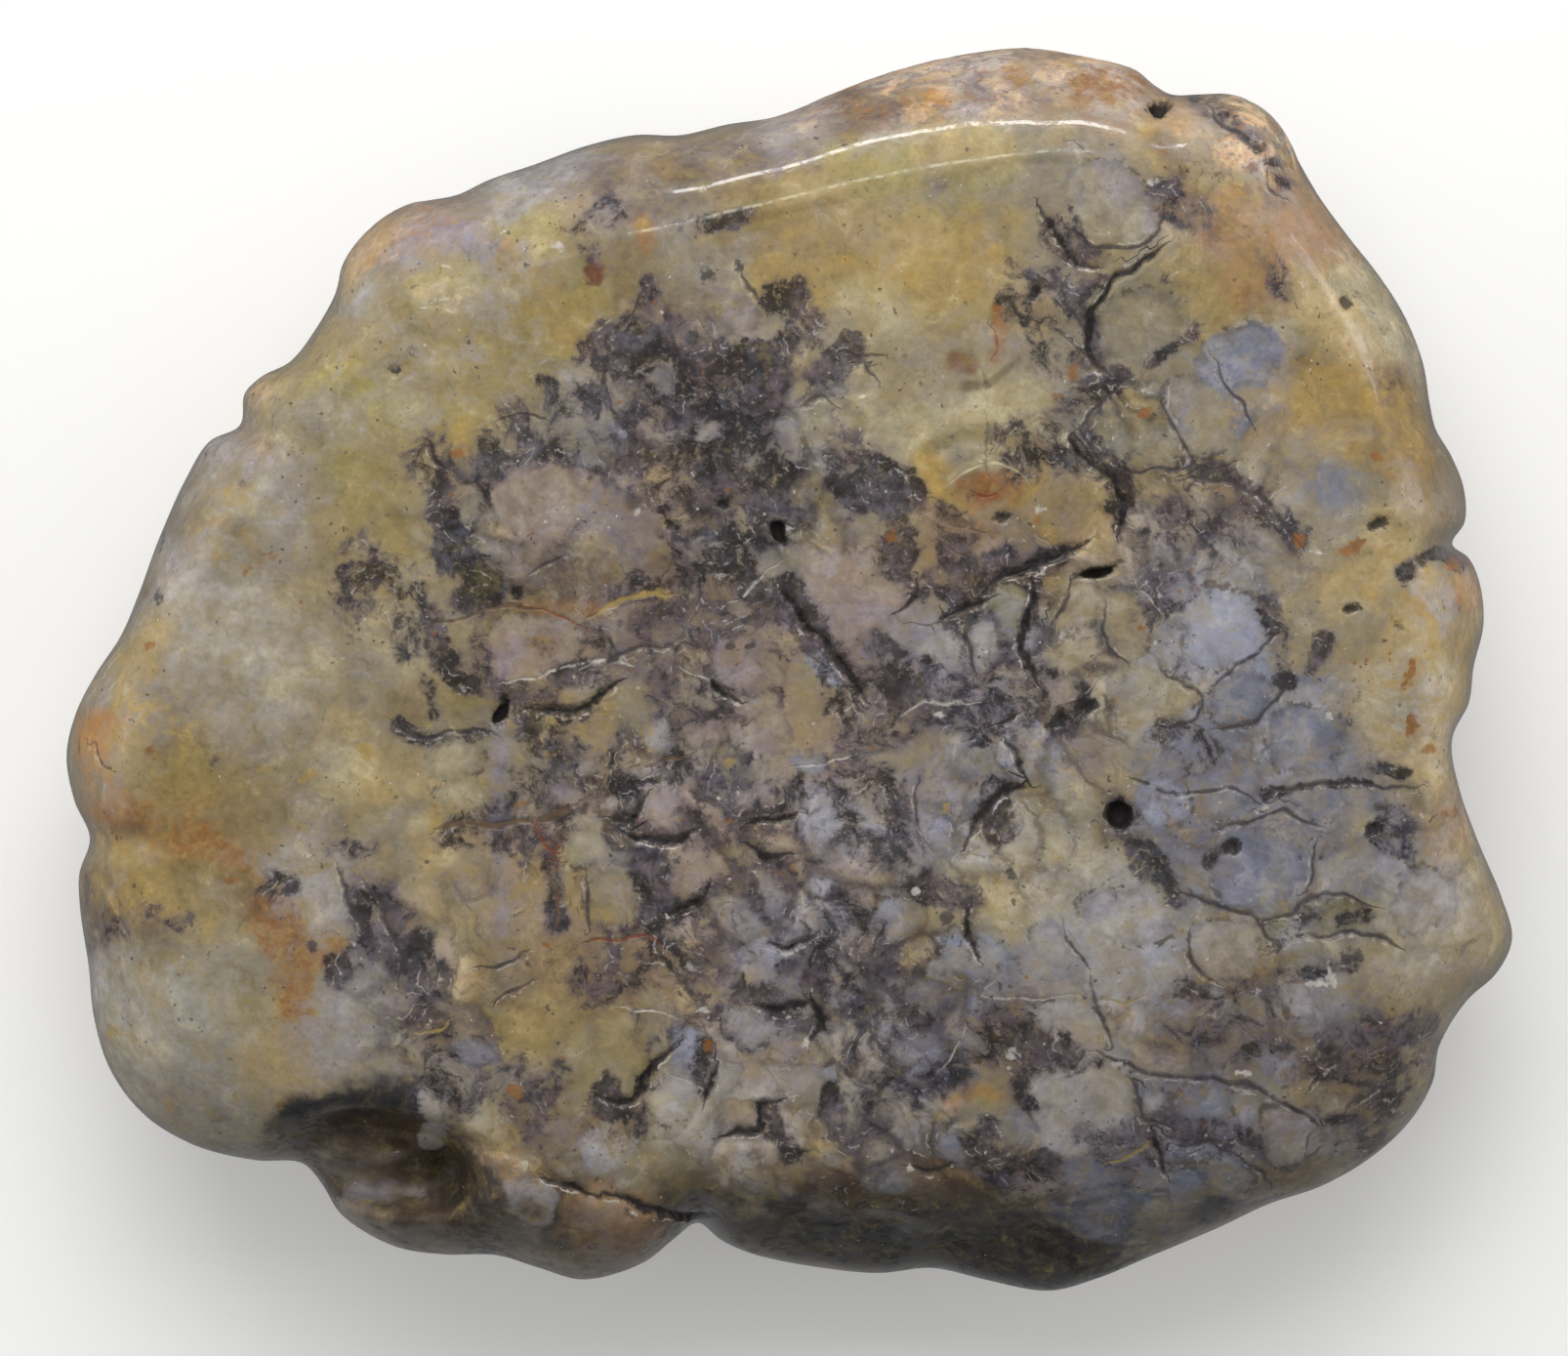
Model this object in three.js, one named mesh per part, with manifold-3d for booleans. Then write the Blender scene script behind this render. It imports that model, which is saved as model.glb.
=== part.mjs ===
// Coprolite: a fossil dropping turned to agate and tumbled to a gloss, one thick lobed nodule with a gently
// domed face. Millimetres, +Z up, X along its longest way. It lies on a small flat spot under its belly. The
// origin is at the middle of its plan, on the surface that it lies on.
import * as THREE from "three";
import { mergeVertices } from "three/addons/utils/BufferGeometryUtils.js";
import Module from "manifold-3d";

// Driving dimensions
const LENGTH = 68; // along X
const RIM_LEVEL = 10.4; // mean height of the widest line round the side
const FACE_RISE = 7.1; // from the widest line up to the shoulder of the face
const FACE_CROWN = 2.3; // what the dome of the face adds in the middle
const FACE_SPAN = [37, 32]; // half length and half width over which the dome fades out
const FLAT_CENTRE = [1.0, -1.5]; // middle of the resting flat, under the centre of mass
const FLAT_HALF = [12.5, 10]; // half length and half width of the resting flat
const STONE_COLOUR = 0x797064;

// The plan is drawn on a fine grid: PLAN_STEPS of them make the length, x runs right and y runs down.
const PLAN_STEPS = 1483;
const PLAN_CENTRE = [808.6, 685.5];
const STEP = LENGTH / PLAN_STEPS;

// Outline of the widest line in plan, lobe by lobe, clockwise from the upper left.
const OUTLINE = {
  browLobe: [[343, 300], [350, 271], [364, 248], [388, 225], [418, 208], [440, 204]],
  topSlope: [[468, 199], [500, 184], [550, 167], [600, 149], [650, 138], [698, 138], [745, 127], [795, 118]],
  crown: [[850, 95], [920, 69], [985, 54], [1050, 47], [1110, 56], [1163, 70], [1184, 87], [1200, 96]],
  ear: [[1232, 96], [1262, 96], [1292, 108], [1317, 134], [1335, 172]],
  rightSlope: [[1352, 202], [1382, 243], [1412, 281], [1440, 325], [1458, 372]],
  rightNeck: [[1465, 415], [1471, 440], [1486, 466], [1499, 500], [1500, 535]],
  rightCleft: [[1488, 557], [1504, 571]],
  cheek: [[1516, 600], [1519, 640], [1509, 683], [1504, 720]],
  rightBay: [[1486, 757], [1493, 803], [1512, 857]],
  beak: [[1538, 918], [1549, 962], [1533, 997]],
  heelBay: [[1503, 1025], [1475, 1072]],
  heel: [[1468, 1108], [1446, 1147], [1405, 1186], [1355, 1215]],
  underSlope: [[1300, 1234], [1250, 1258], [1180, 1288], [1125, 1311]],
  keel: [[1075, 1324], [1010, 1313], [955, 1301], [900, 1306], [840, 1300]],
  bottomCleft: [[772, 1286], [738, 1271], [714, 1254], [690, 1270]],
  toe: [[660, 1293], [598, 1311], [552, 1299], [510, 1286]],
  chin: [[455, 1285], [405, 1277], [352, 1246], [328, 1212], [308, 1192]],
  jaw: [[260, 1188], [200, 1173], [150, 1143], [115, 1098], [97, 1042], [91, 988]],
  leftCleft: [[82, 930], [81, 895], [91, 857]],
  leftLobe: [[76, 820], [68, 775], [77, 732], [98, 690], [124, 650]],
  leftSlope: [[143, 605], [163, 550], [189, 492], [214, 452]],
  leftStep: [[245, 435], [250, 403], [268, 385], [297, 370], [322, 338]],
};

// How far in from the outline the edge rolls over, by compass angle from +X, in degrees and millimetres.
const EDGE_ROLL = [
  [0, 3.0], [30, 3.6], [58, 4.8], [90, 5.2], [120, 4.6], [150, 3.6], [180, 2.8],
  [215, 3.2], [240, 4.6], [270, 5.6], [300, 4.8], [330, 3.4],
];

// Slow rise and fall of the widest line round the side: waves per turn, height and phase.
const RIM_WAVES = [[2, 0.6, 0.7], [3, 0.45, 2.1], [7, 0.22, 1.3]];

// Relief of the face on the plan grid. A soft form fades like a bell, and a stepped one has a steep wall.
const RELIEF = [
  { name: "brow lobe", at: [408, 250], size: [80, 48], turn: 35, height: 0.7 },
  { name: "dimple beside the brow", at: [478, 272], size: [44, 30], turn: 10, height: -1.0 },
  { name: "ear knob", at: [1288, 140], size: [44, 34], turn: -50, height: 0.9 },
  { name: "ear crease", at: [1246, 128], size: [16, 44], turn: 40, height: -0.8 },
  { name: "crown hollow", at: [1186, 112], size: [20, 26], turn: 0, height: -0.9 },
  { name: "right cleft", at: [1484, 561], size: [34, 15], turn: 10, height: -1.3 },
  { name: "right bay", at: [1478, 757], size: [34, 34], turn: 0, height: -0.6 },
  { name: "beak", at: [1522, 958], size: [38, 44], turn: 0, height: 0.4 },
  { name: "heel bay", at: [1478, 1062], size: [44, 26], turn: 35, height: -0.8 },
  { name: "keel slope", at: [985, 1272], size: [190, 46], turn: 0, height: -1.8 },
  { name: "bottom cleft", at: [716, 1250], size: [16, 40], turn: 10, height: -1.6 },
  { name: "orange lump", at: [640, 1268], size: [52, 40], turn: 10, height: 1.3 },
  { name: "grey lump", at: [536, 1228], size: [50, 40], turn: -35, height: 1.5 },
  { name: "chin hollow", at: [392, 1186], size: [104, 50], turn: -8, height: -3.0, stepped: true },
  { name: "chin ledge", at: [408, 1240], size: [60, 22], turn: -15, height: 0.9 },
  { name: "jaw lobe", at: [195, 1055], size: [120, 100], turn: -30, height: 0.9 },
  { name: "left cleft", at: [104, 862], size: [52, 15], turn: 5, height: -0.9 },
  { name: "left lobe", at: [112, 765], size: [50, 76], turn: 0, height: 0.6 },
  { name: "left step", at: [256, 430], size: [34, 16], turn: -35, height: -0.7 },
  { name: "upper swell", at: [600, 400], size: [230, 150], turn: 0, height: 0.3 },
  { name: "middle dip", at: [840, 720], size: [200, 150], turn: -30, height: -0.3 },
  { name: "right swell", at: [1250, 1000], size: [200, 150], turn: 0, height: 0.35 },
  { name: "blue hollow", at: [1130, 1225], size: [150, 44], turn: 20, height: -0.7 },
];

// Folds and swellings of the underside: compass angle, dip below the widest line, spread, all in degrees.
const UNDERSIDE = [
  { name: "shank fold", angle: 20, dip: 38, spread: 20, height: 0.9 },
  { name: "shank crease", angle: 48, dip: 40, spread: 9, height: -0.8 },
  { name: "crown pad", angle: 84, dip: 34, spread: 22, height: 1.0 },
  { name: "brow crease", angle: 118, dip: 44, spread: 9, height: -0.9 },
  { name: "brow pad", angle: 142, dip: 40, spread: 17, height: 0.7 },
  { name: "left crease", angle: 168, dip: 36, spread: 9, height: -0.8 },
  { name: "jaw pad", angle: 204, dip: 38, spread: 20, height: 0.9 },
  { name: "chin crease", angle: 236, dip: 42, spread: 10, height: -1.0 },
  { name: "keel pad", angle: 282, dip: 36, spread: 22, height: 1.0 },
  { name: "heel crease", angle: 318, dip: 44, spread: 10, height: -0.9 },
  { name: "heel pad", angle: 342, dip: 38, spread: 13, height: 0.6 },
];

// Open pits in the face: long and short half widths and depth in millimetres, turned in degrees.
const PITS = [
  { name: "black eye pit", at: [795, 535], size: [1.3, 0.9], turn: 60, depth: 0.9 },
  { name: "west pit", at: [510, 728], size: [0.95, 0.5], turn: 85, depth: 0.7 },
  { name: "round pinhole", at: [531, 607], size: [0.45, 0.45], turn: 0, depth: 0.6 },
  { name: "north pit", at: [690, 540], size: [0.45, 0.4], turn: 0, depth: 0.5 },
  { name: "brow ring pit", at: [408, 383], size: [0.6, 0.5], turn: 0, depth: 0.5 },
  { name: "slot pit", at: [1125, 585], size: [1.5, 0.6], turn: 25, depth: 0.8 },
  { name: "small pit", at: [1025, 535], size: [0.5, 0.4], turn: 0, depth: 0.5 },
  { name: "corner pit", at: [1145, 832], size: [1.3, 1.0], turn: 70, depth: 1.0 },
  { name: "dark pit", at: [1258, 868], size: [0.8, 0.6], turn: 20, depth: 0.6 },
  { name: "neck pit", at: [1404, 538], size: [0.6, 0.4], turn: 0, depth: 0.5 },
  { name: "cheek ring pit", at: [1414, 651], size: [0.6, 0.55], turn: 0, depth: 0.5 },
  { name: "slope pit", at: [1375, 316], size: [0.5, 0.4], turn: 0, depth: 0.45 },
  { name: "crown pit", at: [1186, 110], size: [0.8, 0.6], turn: 20, depth: 1.0 },
  { name: "rust eye pit", at: [1012, 328], size: [0.45, 0.4], turn: 0, depth: 0.4 },
];

// Open cracks and seams in the face: width at the surface and depth in millimetres.
const CRACKS = [
  {
    name: "west seam", width: 0.5, depth: 0.4,
    path: [[522, 700], [560, 690], [600, 681], [650, 681], [700, 697], [740, 722]],
  },
  {
    name: "brown vein seam", width: 0.45, depth: 0.3,
    path: [[440, 640], [500, 626], [560, 622], [600, 645]],
  },
  {
    name: "black diagonal", width: 0.9, depth: 0.6,
    path: [[800, 600], [835, 650], [865, 685], [890, 712]],
  },
  {
    name: "arc over the shards", width: 0.55, depth: 0.4,
    path: [[930, 660], [958, 628], [1000, 600], [1055, 580], [1110, 562]],
  },
  {
    name: "glinting seam", width: 0.4, depth: 0.3,
    path: [[905, 742], [940, 726], [975, 718], [1005, 715]],
  },
  {
    name: "north east seam", width: 0.6, depth: 0.45,
    path: [[1092, 340], [1110, 372], [1128, 388], [1150, 378]],
  },
  {
    name: "black drop", width: 0.8, depth: 0.6,
    path: [[1102, 440], [1122, 475], [1145, 497], [1146, 548]],
  },
  { name: "blue cell seam", width: 0.5, depth: 0.35, path: [[1180, 415], [1200, 450], [1215, 485]] },
  { name: "blue stripe", width: 0.5, depth: 0.3, path: [[1235, 370], [1258, 405], [1280, 442]] },
  {
    name: "cream cell seam", width: 0.45, depth: 0.3,
    path: [[1130, 728], [1165, 745], [1205, 742], [1235, 715], [1250, 690]],
  },
  {
    name: "long east crack", width: 0.6, depth: 0.4,
    path: [[1160, 797], [1210, 811], [1250, 806], [1290, 814], [1350, 801], [1450, 803]],
  },
  {
    name: "south east crack", width: 0.6, depth: 0.4,
    path: [[1205, 912], [1240, 925], [1278, 936], [1300, 968], [1350, 957], [1415, 957]],
  },
  {
    name: "heel crack", width: 0.55, depth: 0.4,
    path: [[1120, 1076], [1170, 1097], [1230, 1101], [1275, 1109], [1310, 1126], [1350, 1150]],
  },
  { name: "shard ledge", width: 0.6, depth: 0.4, path: [[782, 962], [806, 968], [830, 960]] },
  {
    name: "hook seam", width: 0.6, depth: 0.4,
    path: [[770, 1022], [800, 1030], [828, 1026], [836, 1045], [832, 1066]],
  },
  { name: "dark gully", width: 1.2, depth: 0.6, path: [[890, 930], [882, 980], [880, 1030], [862, 1078]] },
  { name: "brown vein", width: 0.5, depth: 0.3, path: [[448, 852], [500, 845], [548, 842], [592, 826]] },
  { name: "red seam", width: 0.5, depth: 0.3, path: [[603, 960], [640, 957], [678, 966]] },
  { name: "west streak", width: 0.5, depth: 0.35, path: [[350, 890], [366, 930], [392, 970]] },
  {
    name: "lump groove", width: 0.9, depth: 0.7,
    path: [[566, 1196], [600, 1214], [650, 1222], [700, 1236], [732, 1246]],
  },
  { name: "north comma", width: 0.5, depth: 0.35, path: [[636, 448], [630, 470], [645, 488], [664, 482]] },
  { name: "centre comma", width: 0.5, depth: 0.4, path: [[650, 822], [660, 850], [690, 862], [706, 850]] },
  {
    name: "ear groove", width: 1.0, depth: 0.7,
    path: [[1240, 108], [1262, 128], [1290, 150], [1312, 178]],
  },
];

// Mesh fineness
const RIM_STATIONS = 200;
const SHOULDER_STATIONS = 132;
const ROLL_ANGLES = [15, 32, 48, 62, 76, 90]; // rings up the rolled edge, in degrees
const FACE_RINGS = 16;
const FEWEST_STATIONS = 7; // on the smallest ring of the face
const FACE_SWAY_FROM = 0.4; // share of the way out at which the face starts to follow the waving rim
const BELLY_RINGS = [[12, 168], [26, 140], [42, 112], [58, 84], [74, 60], [90, 40]]; // dip and stations
const ROUNDING_REACH = 4; // outline points on each side that an inner ring averages over
const STEP_WALL = [0.6, 1.25]; // where the wall of a stepped form starts and ends, as shares of its size

// The wedges that open the cracks
const WEDGE_STATIONS_PER_POINT = 1.6;
const WEDGE_LIFT = 0.5; // how far the broad back stays above the face
const WEDGE_TIP = 0.3; // share of the width and depth that is left at the ends

const RADIANS = Math.PI / 180;
const smooth = (t) => t * t * (3 - 2 * t);
const fade = (low, high, value) => smooth(THREE.MathUtils.clamp((value - low) / (high - low), 0, 1));

// A point of the plan grid in millimetres.
function fromPlan([x, y]) {
  return new THREE.Vector3((x - PLAN_CENTRE[0]) * STEP, (PLAN_CENTRE[1] - y) * STEP, 0);
}

// The outline as a closed curve, counter-clockwise from above.
const outlinePoints = Object.values(OUTLINE).flat().map(fromPlan).reverse();
const outline = new THREE.CatmullRomCurve3(outlinePoints, true, "centripetal");
const outlinePoint = (turn) => outline.getPoint(((turn % 1) + 1) % 1);

// The outline with its narrow clefts averaged out, which the inner rings follow.
function roundedPoint(turn) {
  const sum = new THREE.Vector3();
  for (let k = -ROUNDING_REACH; k <= ROUNDING_REACH; k++) {
    sum.add(outlinePoint(turn + k / outlinePoints.length));
  }
  return sum.divideScalar(2 * ROUNDING_REACH + 1);
}

// Width of the rolled edge at a compass angle in degrees, eased between the ones listed.
function rollWidth(angle) {
  const at = (angle + 360) % 360;
  const next = EDGE_ROLL.findIndex(([a]) => a > at);
  const [a0, w0] = EDGE_ROLL.at(next - 1);
  const [a1, w1] = next < 0 ? [360, EDGE_ROLL[0][1]] : EDGE_ROLL[next];
  return w0 + (w1 - w0) * smooth((at - a0) / (a1 - a0));
}

const compass = (point) => Math.atan2(point.y, point.x) / RADIANS;

function rimHeight(angle) {
  let z = RIM_LEVEL;
  for (const [waves, height, phase] of RIM_WAVES) {
    z += height * Math.sin(waves * angle * RADIANS + phase);
  }
  return z;
}

// Height that the lumps and hollows of the face add at a place.
function relief(place) {
  let height = 0;
  for (const form of RELIEF) {
    const from = place.clone().sub(fromPlan(form.at));
    from.applyAxisAngle(new THREE.Vector3(0, 0, 1), -form.turn * RADIANS);
    const away = Math.hypot(from.x / form.size[0], from.y / form.size[1]) / STEP;
    height += form.height * (form.stepped ? 1 - fade(...STEP_WALL, away) : Math.exp(-away * away));
  }
  return height;
}

function crown(place) {
  return FACE_CROWN * (1 - (place.x / FACE_SPAN[0]) ** 2 - (place.y / FACE_SPAN[1]) ** 2);
}

// A point of the widest line.
function rimPoint(turn) {
  const place = outlinePoint(turn);
  const z = rimHeight(compass(place)) + relief(place);
  return new THREE.Vector3(place.x, place.y, z);
}

// A point of the rolled edge, at an angle from 0 at the widest line to 90 at the shoulder of the face.
function edgePoint(turn, rollAngle) {
  const rim = outlinePoint(turn);
  const angle = compass(rim);
  const depth = rollWidth(angle) * (1 - Math.cos(rollAngle * RADIANS));
  const inward = rim.clone().normalize().multiplyScalar(-depth);
  const place = rim.lerp(roundedPoint(turn), smooth(rollAngle / 90)).add(inward);
  const rise = (FACE_RISE + crown(place)) * Math.sin(rollAngle * RADIANS);
  return new THREE.Vector3(place.x, place.y, rimHeight(angle) + rise + relief(place));
}

// A point of the face inside the shoulder, whose share of the way out from the middle is reach.
function facePoint(turn, reach) {
  const shoulder = edgePoint(turn, 90).setZ(0);
  const sway = (rimHeight(compass(shoulder)) - RIM_LEVEL) * fade(FACE_SWAY_FROM, 1, reach);
  const place = shoulder.multiplyScalar(reach);
  return new THREE.Vector3(place.x, place.y, RIM_LEVEL + sway + FACE_RISE + crown(place) + relief(place));
}

// How far the underside swells out or folds in at a compass angle and a dip below the widest line.
function fold(angle, dip) {
  let height = 0;
  for (const form of UNDERSIDE) {
    const across = THREE.MathUtils.euclideanModulo(angle - form.angle + 180, 360) - 180;
    const away = Math.hypot(across / form.spread, (dip - form.dip) / (1.4 * form.spread));
    height += form.height * Math.exp(-away * away);
  }
  return height * Math.sin(2 * dip * RADIANS);
}

// A point of the underside, whose dip runs from 0 at the widest line to 90 at the edge of the flat.
function bellyPoint(turn, dip) {
  const rim = rimPoint(turn);
  const angle = compass(rim);
  const out = new THREE.Vector3(Math.cos(angle * RADIANS), Math.sin(angle * RADIANS), 0);
  const flat = new THREE.Vector3(...FLAT_CENTRE, 0).add(new THREE.Vector3(...FLAT_HALF, 0).multiply(out));
  const share = Math.cos(dip * RADIANS);
  const height = rim.z * (1 - Math.sin(dip * RADIANS));
  const point = rim.setZ(0).lerp(flat, 1 - share).setZ(dip === 90 ? 0 : height);
  const swell = out.multiplyScalar(share).setZ(-Math.sin(dip * RADIANS)).multiplyScalar(fold(angle, dip));
  return dip === 90 ? point : point.add(swell);
}

// A stack of rings whose neighbours are zipped together with triangles.
class RingStack {
  constructor() {
    this.positions = [];
    this.triangles = [];
  }

  ring(stations, pointAt) {
    const first = this.positions.length / 3;
    for (let k = 0; k < stations; k++) {
      this.positions.push(...pointAt(k / stations).toArray());
    }
    return { first, stations };
  }

  face(a, b, c, upward) {
    this.triangles.push(...(upward ? [a, b, c] : [a, c, b]));
  }

  zip(outer, inner, upward) {
    const at = (ring, k) => ring.first + (k % ring.stations);
    let i = 0;
    let j = 0;
    while (i < outer.stations || j < inner.stations) {
      if ((i + 1) / outer.stations <= (j + 1) / inner.stations) {
        this.face(at(outer, i), at(outer, i + 1), at(inner, j), upward);
        i++;
      } else {
        this.face(at(outer, i), at(inner, j + 1), at(inner, j), upward);
        j++;
      }
    }
  }

  cap(ring, centre, upward) {
    const { first } = this.ring(1, () => centre);
    for (let k = 0; k < ring.stations; k++) {
      this.face(ring.first + k, ring.first + ((k + 1) % ring.stations), first, upward);
    }
  }

  geometry() {
    return new THREE.BufferGeometry()
      .setAttribute("position", new THREE.Float32BufferAttribute(this.positions, 3))
      .setIndex(this.triangles);
  }
}

// The whole nodule before its pits and cracks are opened.
function noduleGeometry() {
  const stack = new RingStack();
  const rim = stack.ring(RIM_STATIONS, rimPoint);
  let outer = rim;
  ROLL_ANGLES.forEach((rollAngle, k) => {
    const share = (k + 1) / ROLL_ANGLES.length;
    const stations = Math.round(THREE.MathUtils.lerp(RIM_STATIONS, SHOULDER_STATIONS, share));
    const inner = stack.ring(stations, (turn) => edgePoint(turn, rollAngle));
    stack.zip(outer, inner, true);
    outer = inner;
  });
  for (let k = FACE_RINGS - 1; k > 0; k--) {
    const reach = k / FACE_RINGS;
    const stations = Math.max(FEWEST_STATIONS, Math.round(SHOULDER_STATIONS * reach));
    const inner = stack.ring(stations, (turn) => facePoint(turn, reach));
    stack.zip(outer, inner, true);
    outer = inner;
  }
  stack.cap(outer, facePoint(0, 0), true);
  outer = rim;
  for (const [dip, stations] of BELLY_RINGS) {
    const inner = stack.ring(stations, (turn) => bellyPoint(turn, dip));
    stack.zip(outer, inner, false);
    outer = inner;
  }
  stack.cap(outer, new THREE.Vector3(...FLAT_CENTRE, 0), false);
  return stack.geometry();
}

// Height of the face above a place in plan.
function faceHeight(mesh, place) {
  const above = new THREE.Vector3(place.x, place.y, LENGTH);
  const ray = new THREE.Raycaster(above, new THREE.Vector3(0, 0, -1));
  return ray.intersectObject(mesh)[0].point.z;
}

// A rounded plug whose lower half leaves an open pit.
function pitGeometry(pit, mesh) {
  const place = fromPlan(pit.at);
  const plug = new THREE.IcosahedronGeometry(1, 1);
  plug.scale(pit.size[0], pit.size[1], pit.depth);
  plug.rotateZ(pit.turn * RADIANS);
  plug.translate(place.x, place.y, faceHeight(mesh, place));
  return plug;
}

// A wedge that follows a path over the face and tapers to both ends, which leaves an open crack.
function crackGeometry(crack, mesh) {
  const curve = new THREE.CatmullRomCurve3(crack.path.map(fromPlan), false, "centripetal");
  const stations = Math.round(crack.path.length * WEDGE_STATIONS_PER_POINT);
  const positions = [];
  const triangles = [];
  for (let k = 0; k <= stations; k++) {
    const place = curve.getPoint(k / stations);
    const along = curve.getTangent(k / stations);
    const across = new THREE.Vector3(-along.y, along.x, 0);
    const fullness = WEDGE_TIP + (1 - WEDGE_TIP) * Math.sin((Math.PI * k) / stations);
    const depth = crack.depth * fullness;
    const top = faceHeight(mesh, place);
    const halfBack = (crack.width / 2) * fullness * (1 + WEDGE_LIFT / depth);
    const back = place.clone().setZ(top + WEDGE_LIFT);
    const left = back.clone().addScaledVector(across, halfBack);
    const right = back.clone().addScaledVector(across, -halfBack);
    const keel = place.clone().setZ(top - depth);
    positions.push(...left.toArray(), ...keel.toArray(), ...right.toArray());
    if (k === 0) continue;
    const now = 3 * k;
    for (let side = 0; side < 3; side++) {
      const next = (side + 1) % 3;
      triangles.push(now - 3 + side, now + side, now + next);
      triangles.push(now - 3 + side, now + next, now - 3 + next);
    }
  }
  const last = 3 * stations;
  triangles.push(0, 1, 2, last, last + 2, last + 1);
  return new THREE.BufferGeometry()
    .setAttribute("position", new THREE.Float32BufferAttribute(positions, 3))
    .setIndex(triangles);
}

// Joins and cuts
const wasm = await Module();
wasm.setup();

function solidFrom(geometry) {
  const nearest = 1e-4; // mm, within which two vertices are one
  const bare = geometry.clone().deleteAttribute("normal").deleteAttribute("uv");
  const merged = mergeVertices(bare, nearest);
  return new wasm.Manifold(
    new wasm.Mesh({
      numProp: 3,
      vertProperties: merged.attributes.position.array,
      triVerts: new Uint32Array(merged.index.array),
    }),
  );
}

// The nodule with its pits and cracks opened.
function stoneGeometry() {
  const nodule = noduleGeometry();
  const mesh = new THREE.Mesh(nodule);
  let solid = solidFrom(nodule);
  for (const pit of PITS) {
    solid = solid.subtract(solidFrom(pitGeometry(pit, mesh)));
  }
  for (const crack of CRACKS) {
    solid = solid.subtract(solidFrom(crackGeometry(crack, mesh)));
  }
  const { vertProperties, triVerts } = solid.getMesh();
  const geometry = new THREE.BufferGeometry()
    .setAttribute("position", new THREE.BufferAttribute(vertProperties, 3))
    .setIndex(new THREE.BufferAttribute(triVerts, 1));
  geometry.computeVertexNormals();
  return geometry;
}

const agatizedStone = new THREE.MeshStandardMaterial({ color: STONE_COLOUR, roughness: 0.25, metalness: 0 });

const coprolite = new THREE.Mesh(stoneGeometry(), agatizedStone);
coprolite.name = "coprolite";

const part = new THREE.Group();
part.add(coprolite);

export default part;
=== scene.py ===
"""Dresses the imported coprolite: an agatized, tumble-polished fossil nodule, in a plain studio."""

import logging
import math
import re
from dataclasses import dataclass, field
from enum import Enum
from typing import Iterator, Optional, Sequence, Union

import bpy
import numpy as np
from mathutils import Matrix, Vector, noise


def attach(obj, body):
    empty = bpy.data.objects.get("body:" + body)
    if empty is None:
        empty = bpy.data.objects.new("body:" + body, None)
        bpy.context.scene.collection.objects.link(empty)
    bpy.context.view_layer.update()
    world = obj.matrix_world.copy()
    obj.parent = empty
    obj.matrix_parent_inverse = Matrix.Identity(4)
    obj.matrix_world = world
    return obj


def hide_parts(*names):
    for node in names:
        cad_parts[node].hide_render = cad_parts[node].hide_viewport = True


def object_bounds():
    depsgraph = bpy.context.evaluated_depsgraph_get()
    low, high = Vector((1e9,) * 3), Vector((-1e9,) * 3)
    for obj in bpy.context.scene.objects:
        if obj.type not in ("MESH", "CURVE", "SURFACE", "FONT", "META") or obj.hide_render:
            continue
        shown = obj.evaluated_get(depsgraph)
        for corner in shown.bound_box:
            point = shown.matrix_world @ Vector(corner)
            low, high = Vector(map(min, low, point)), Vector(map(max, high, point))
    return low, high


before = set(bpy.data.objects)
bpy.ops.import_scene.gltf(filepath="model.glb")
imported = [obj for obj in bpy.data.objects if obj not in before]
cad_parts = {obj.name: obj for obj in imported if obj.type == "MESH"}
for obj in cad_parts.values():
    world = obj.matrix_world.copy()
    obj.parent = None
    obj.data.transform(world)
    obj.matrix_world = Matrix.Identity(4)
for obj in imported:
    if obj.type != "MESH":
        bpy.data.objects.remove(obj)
CAD_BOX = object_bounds()

LOG = logging.getLogger("coprolite")
NODE = "coprolite"
PIECE = "coprolite_stone"
PICTURE_WIDTH = 1606
MM = 0.001
RADIANS = math.pi / 180
TINY = 1e-9

Point = tuple[float, float]
Colour = tuple[float, float, float]
Value = Union[float, "Wire"]
Paint = Union["Tint", "Wire"]


# ---- Plan grid and outline ----


@dataclass(frozen=True)
class PlanGrid:
    """The drawing grid of the face: x runs right and y runs down, in fine steps."""

    steps: float = 1483.0
    centre: Point = (808.6, 685.5)
    length: float = 0.068

    @property
    def step(self) -> float:
        """One step of the grid in metres."""
        return self.length / self.steps

    def to_metres(self, points: np.ndarray) -> np.ndarray:
        """Turns grid points into metres.

        Args:
            points: grid points, one a row.

        Returns:
            The same points in metres, with y running up.
        """
        return (np.asarray(points, float) - self.centre) * (self.step, -self.step)

    def from_metres(self, points: np.ndarray) -> np.ndarray:
        """Turns points in metres into grid points.

        Args:
            points: points in metres, one a row.

        Returns:
            The same points on the grid.
        """
        return np.asarray(points, float) / (self.step, -self.step) + self.centre


GRID = PlanGrid()

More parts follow.
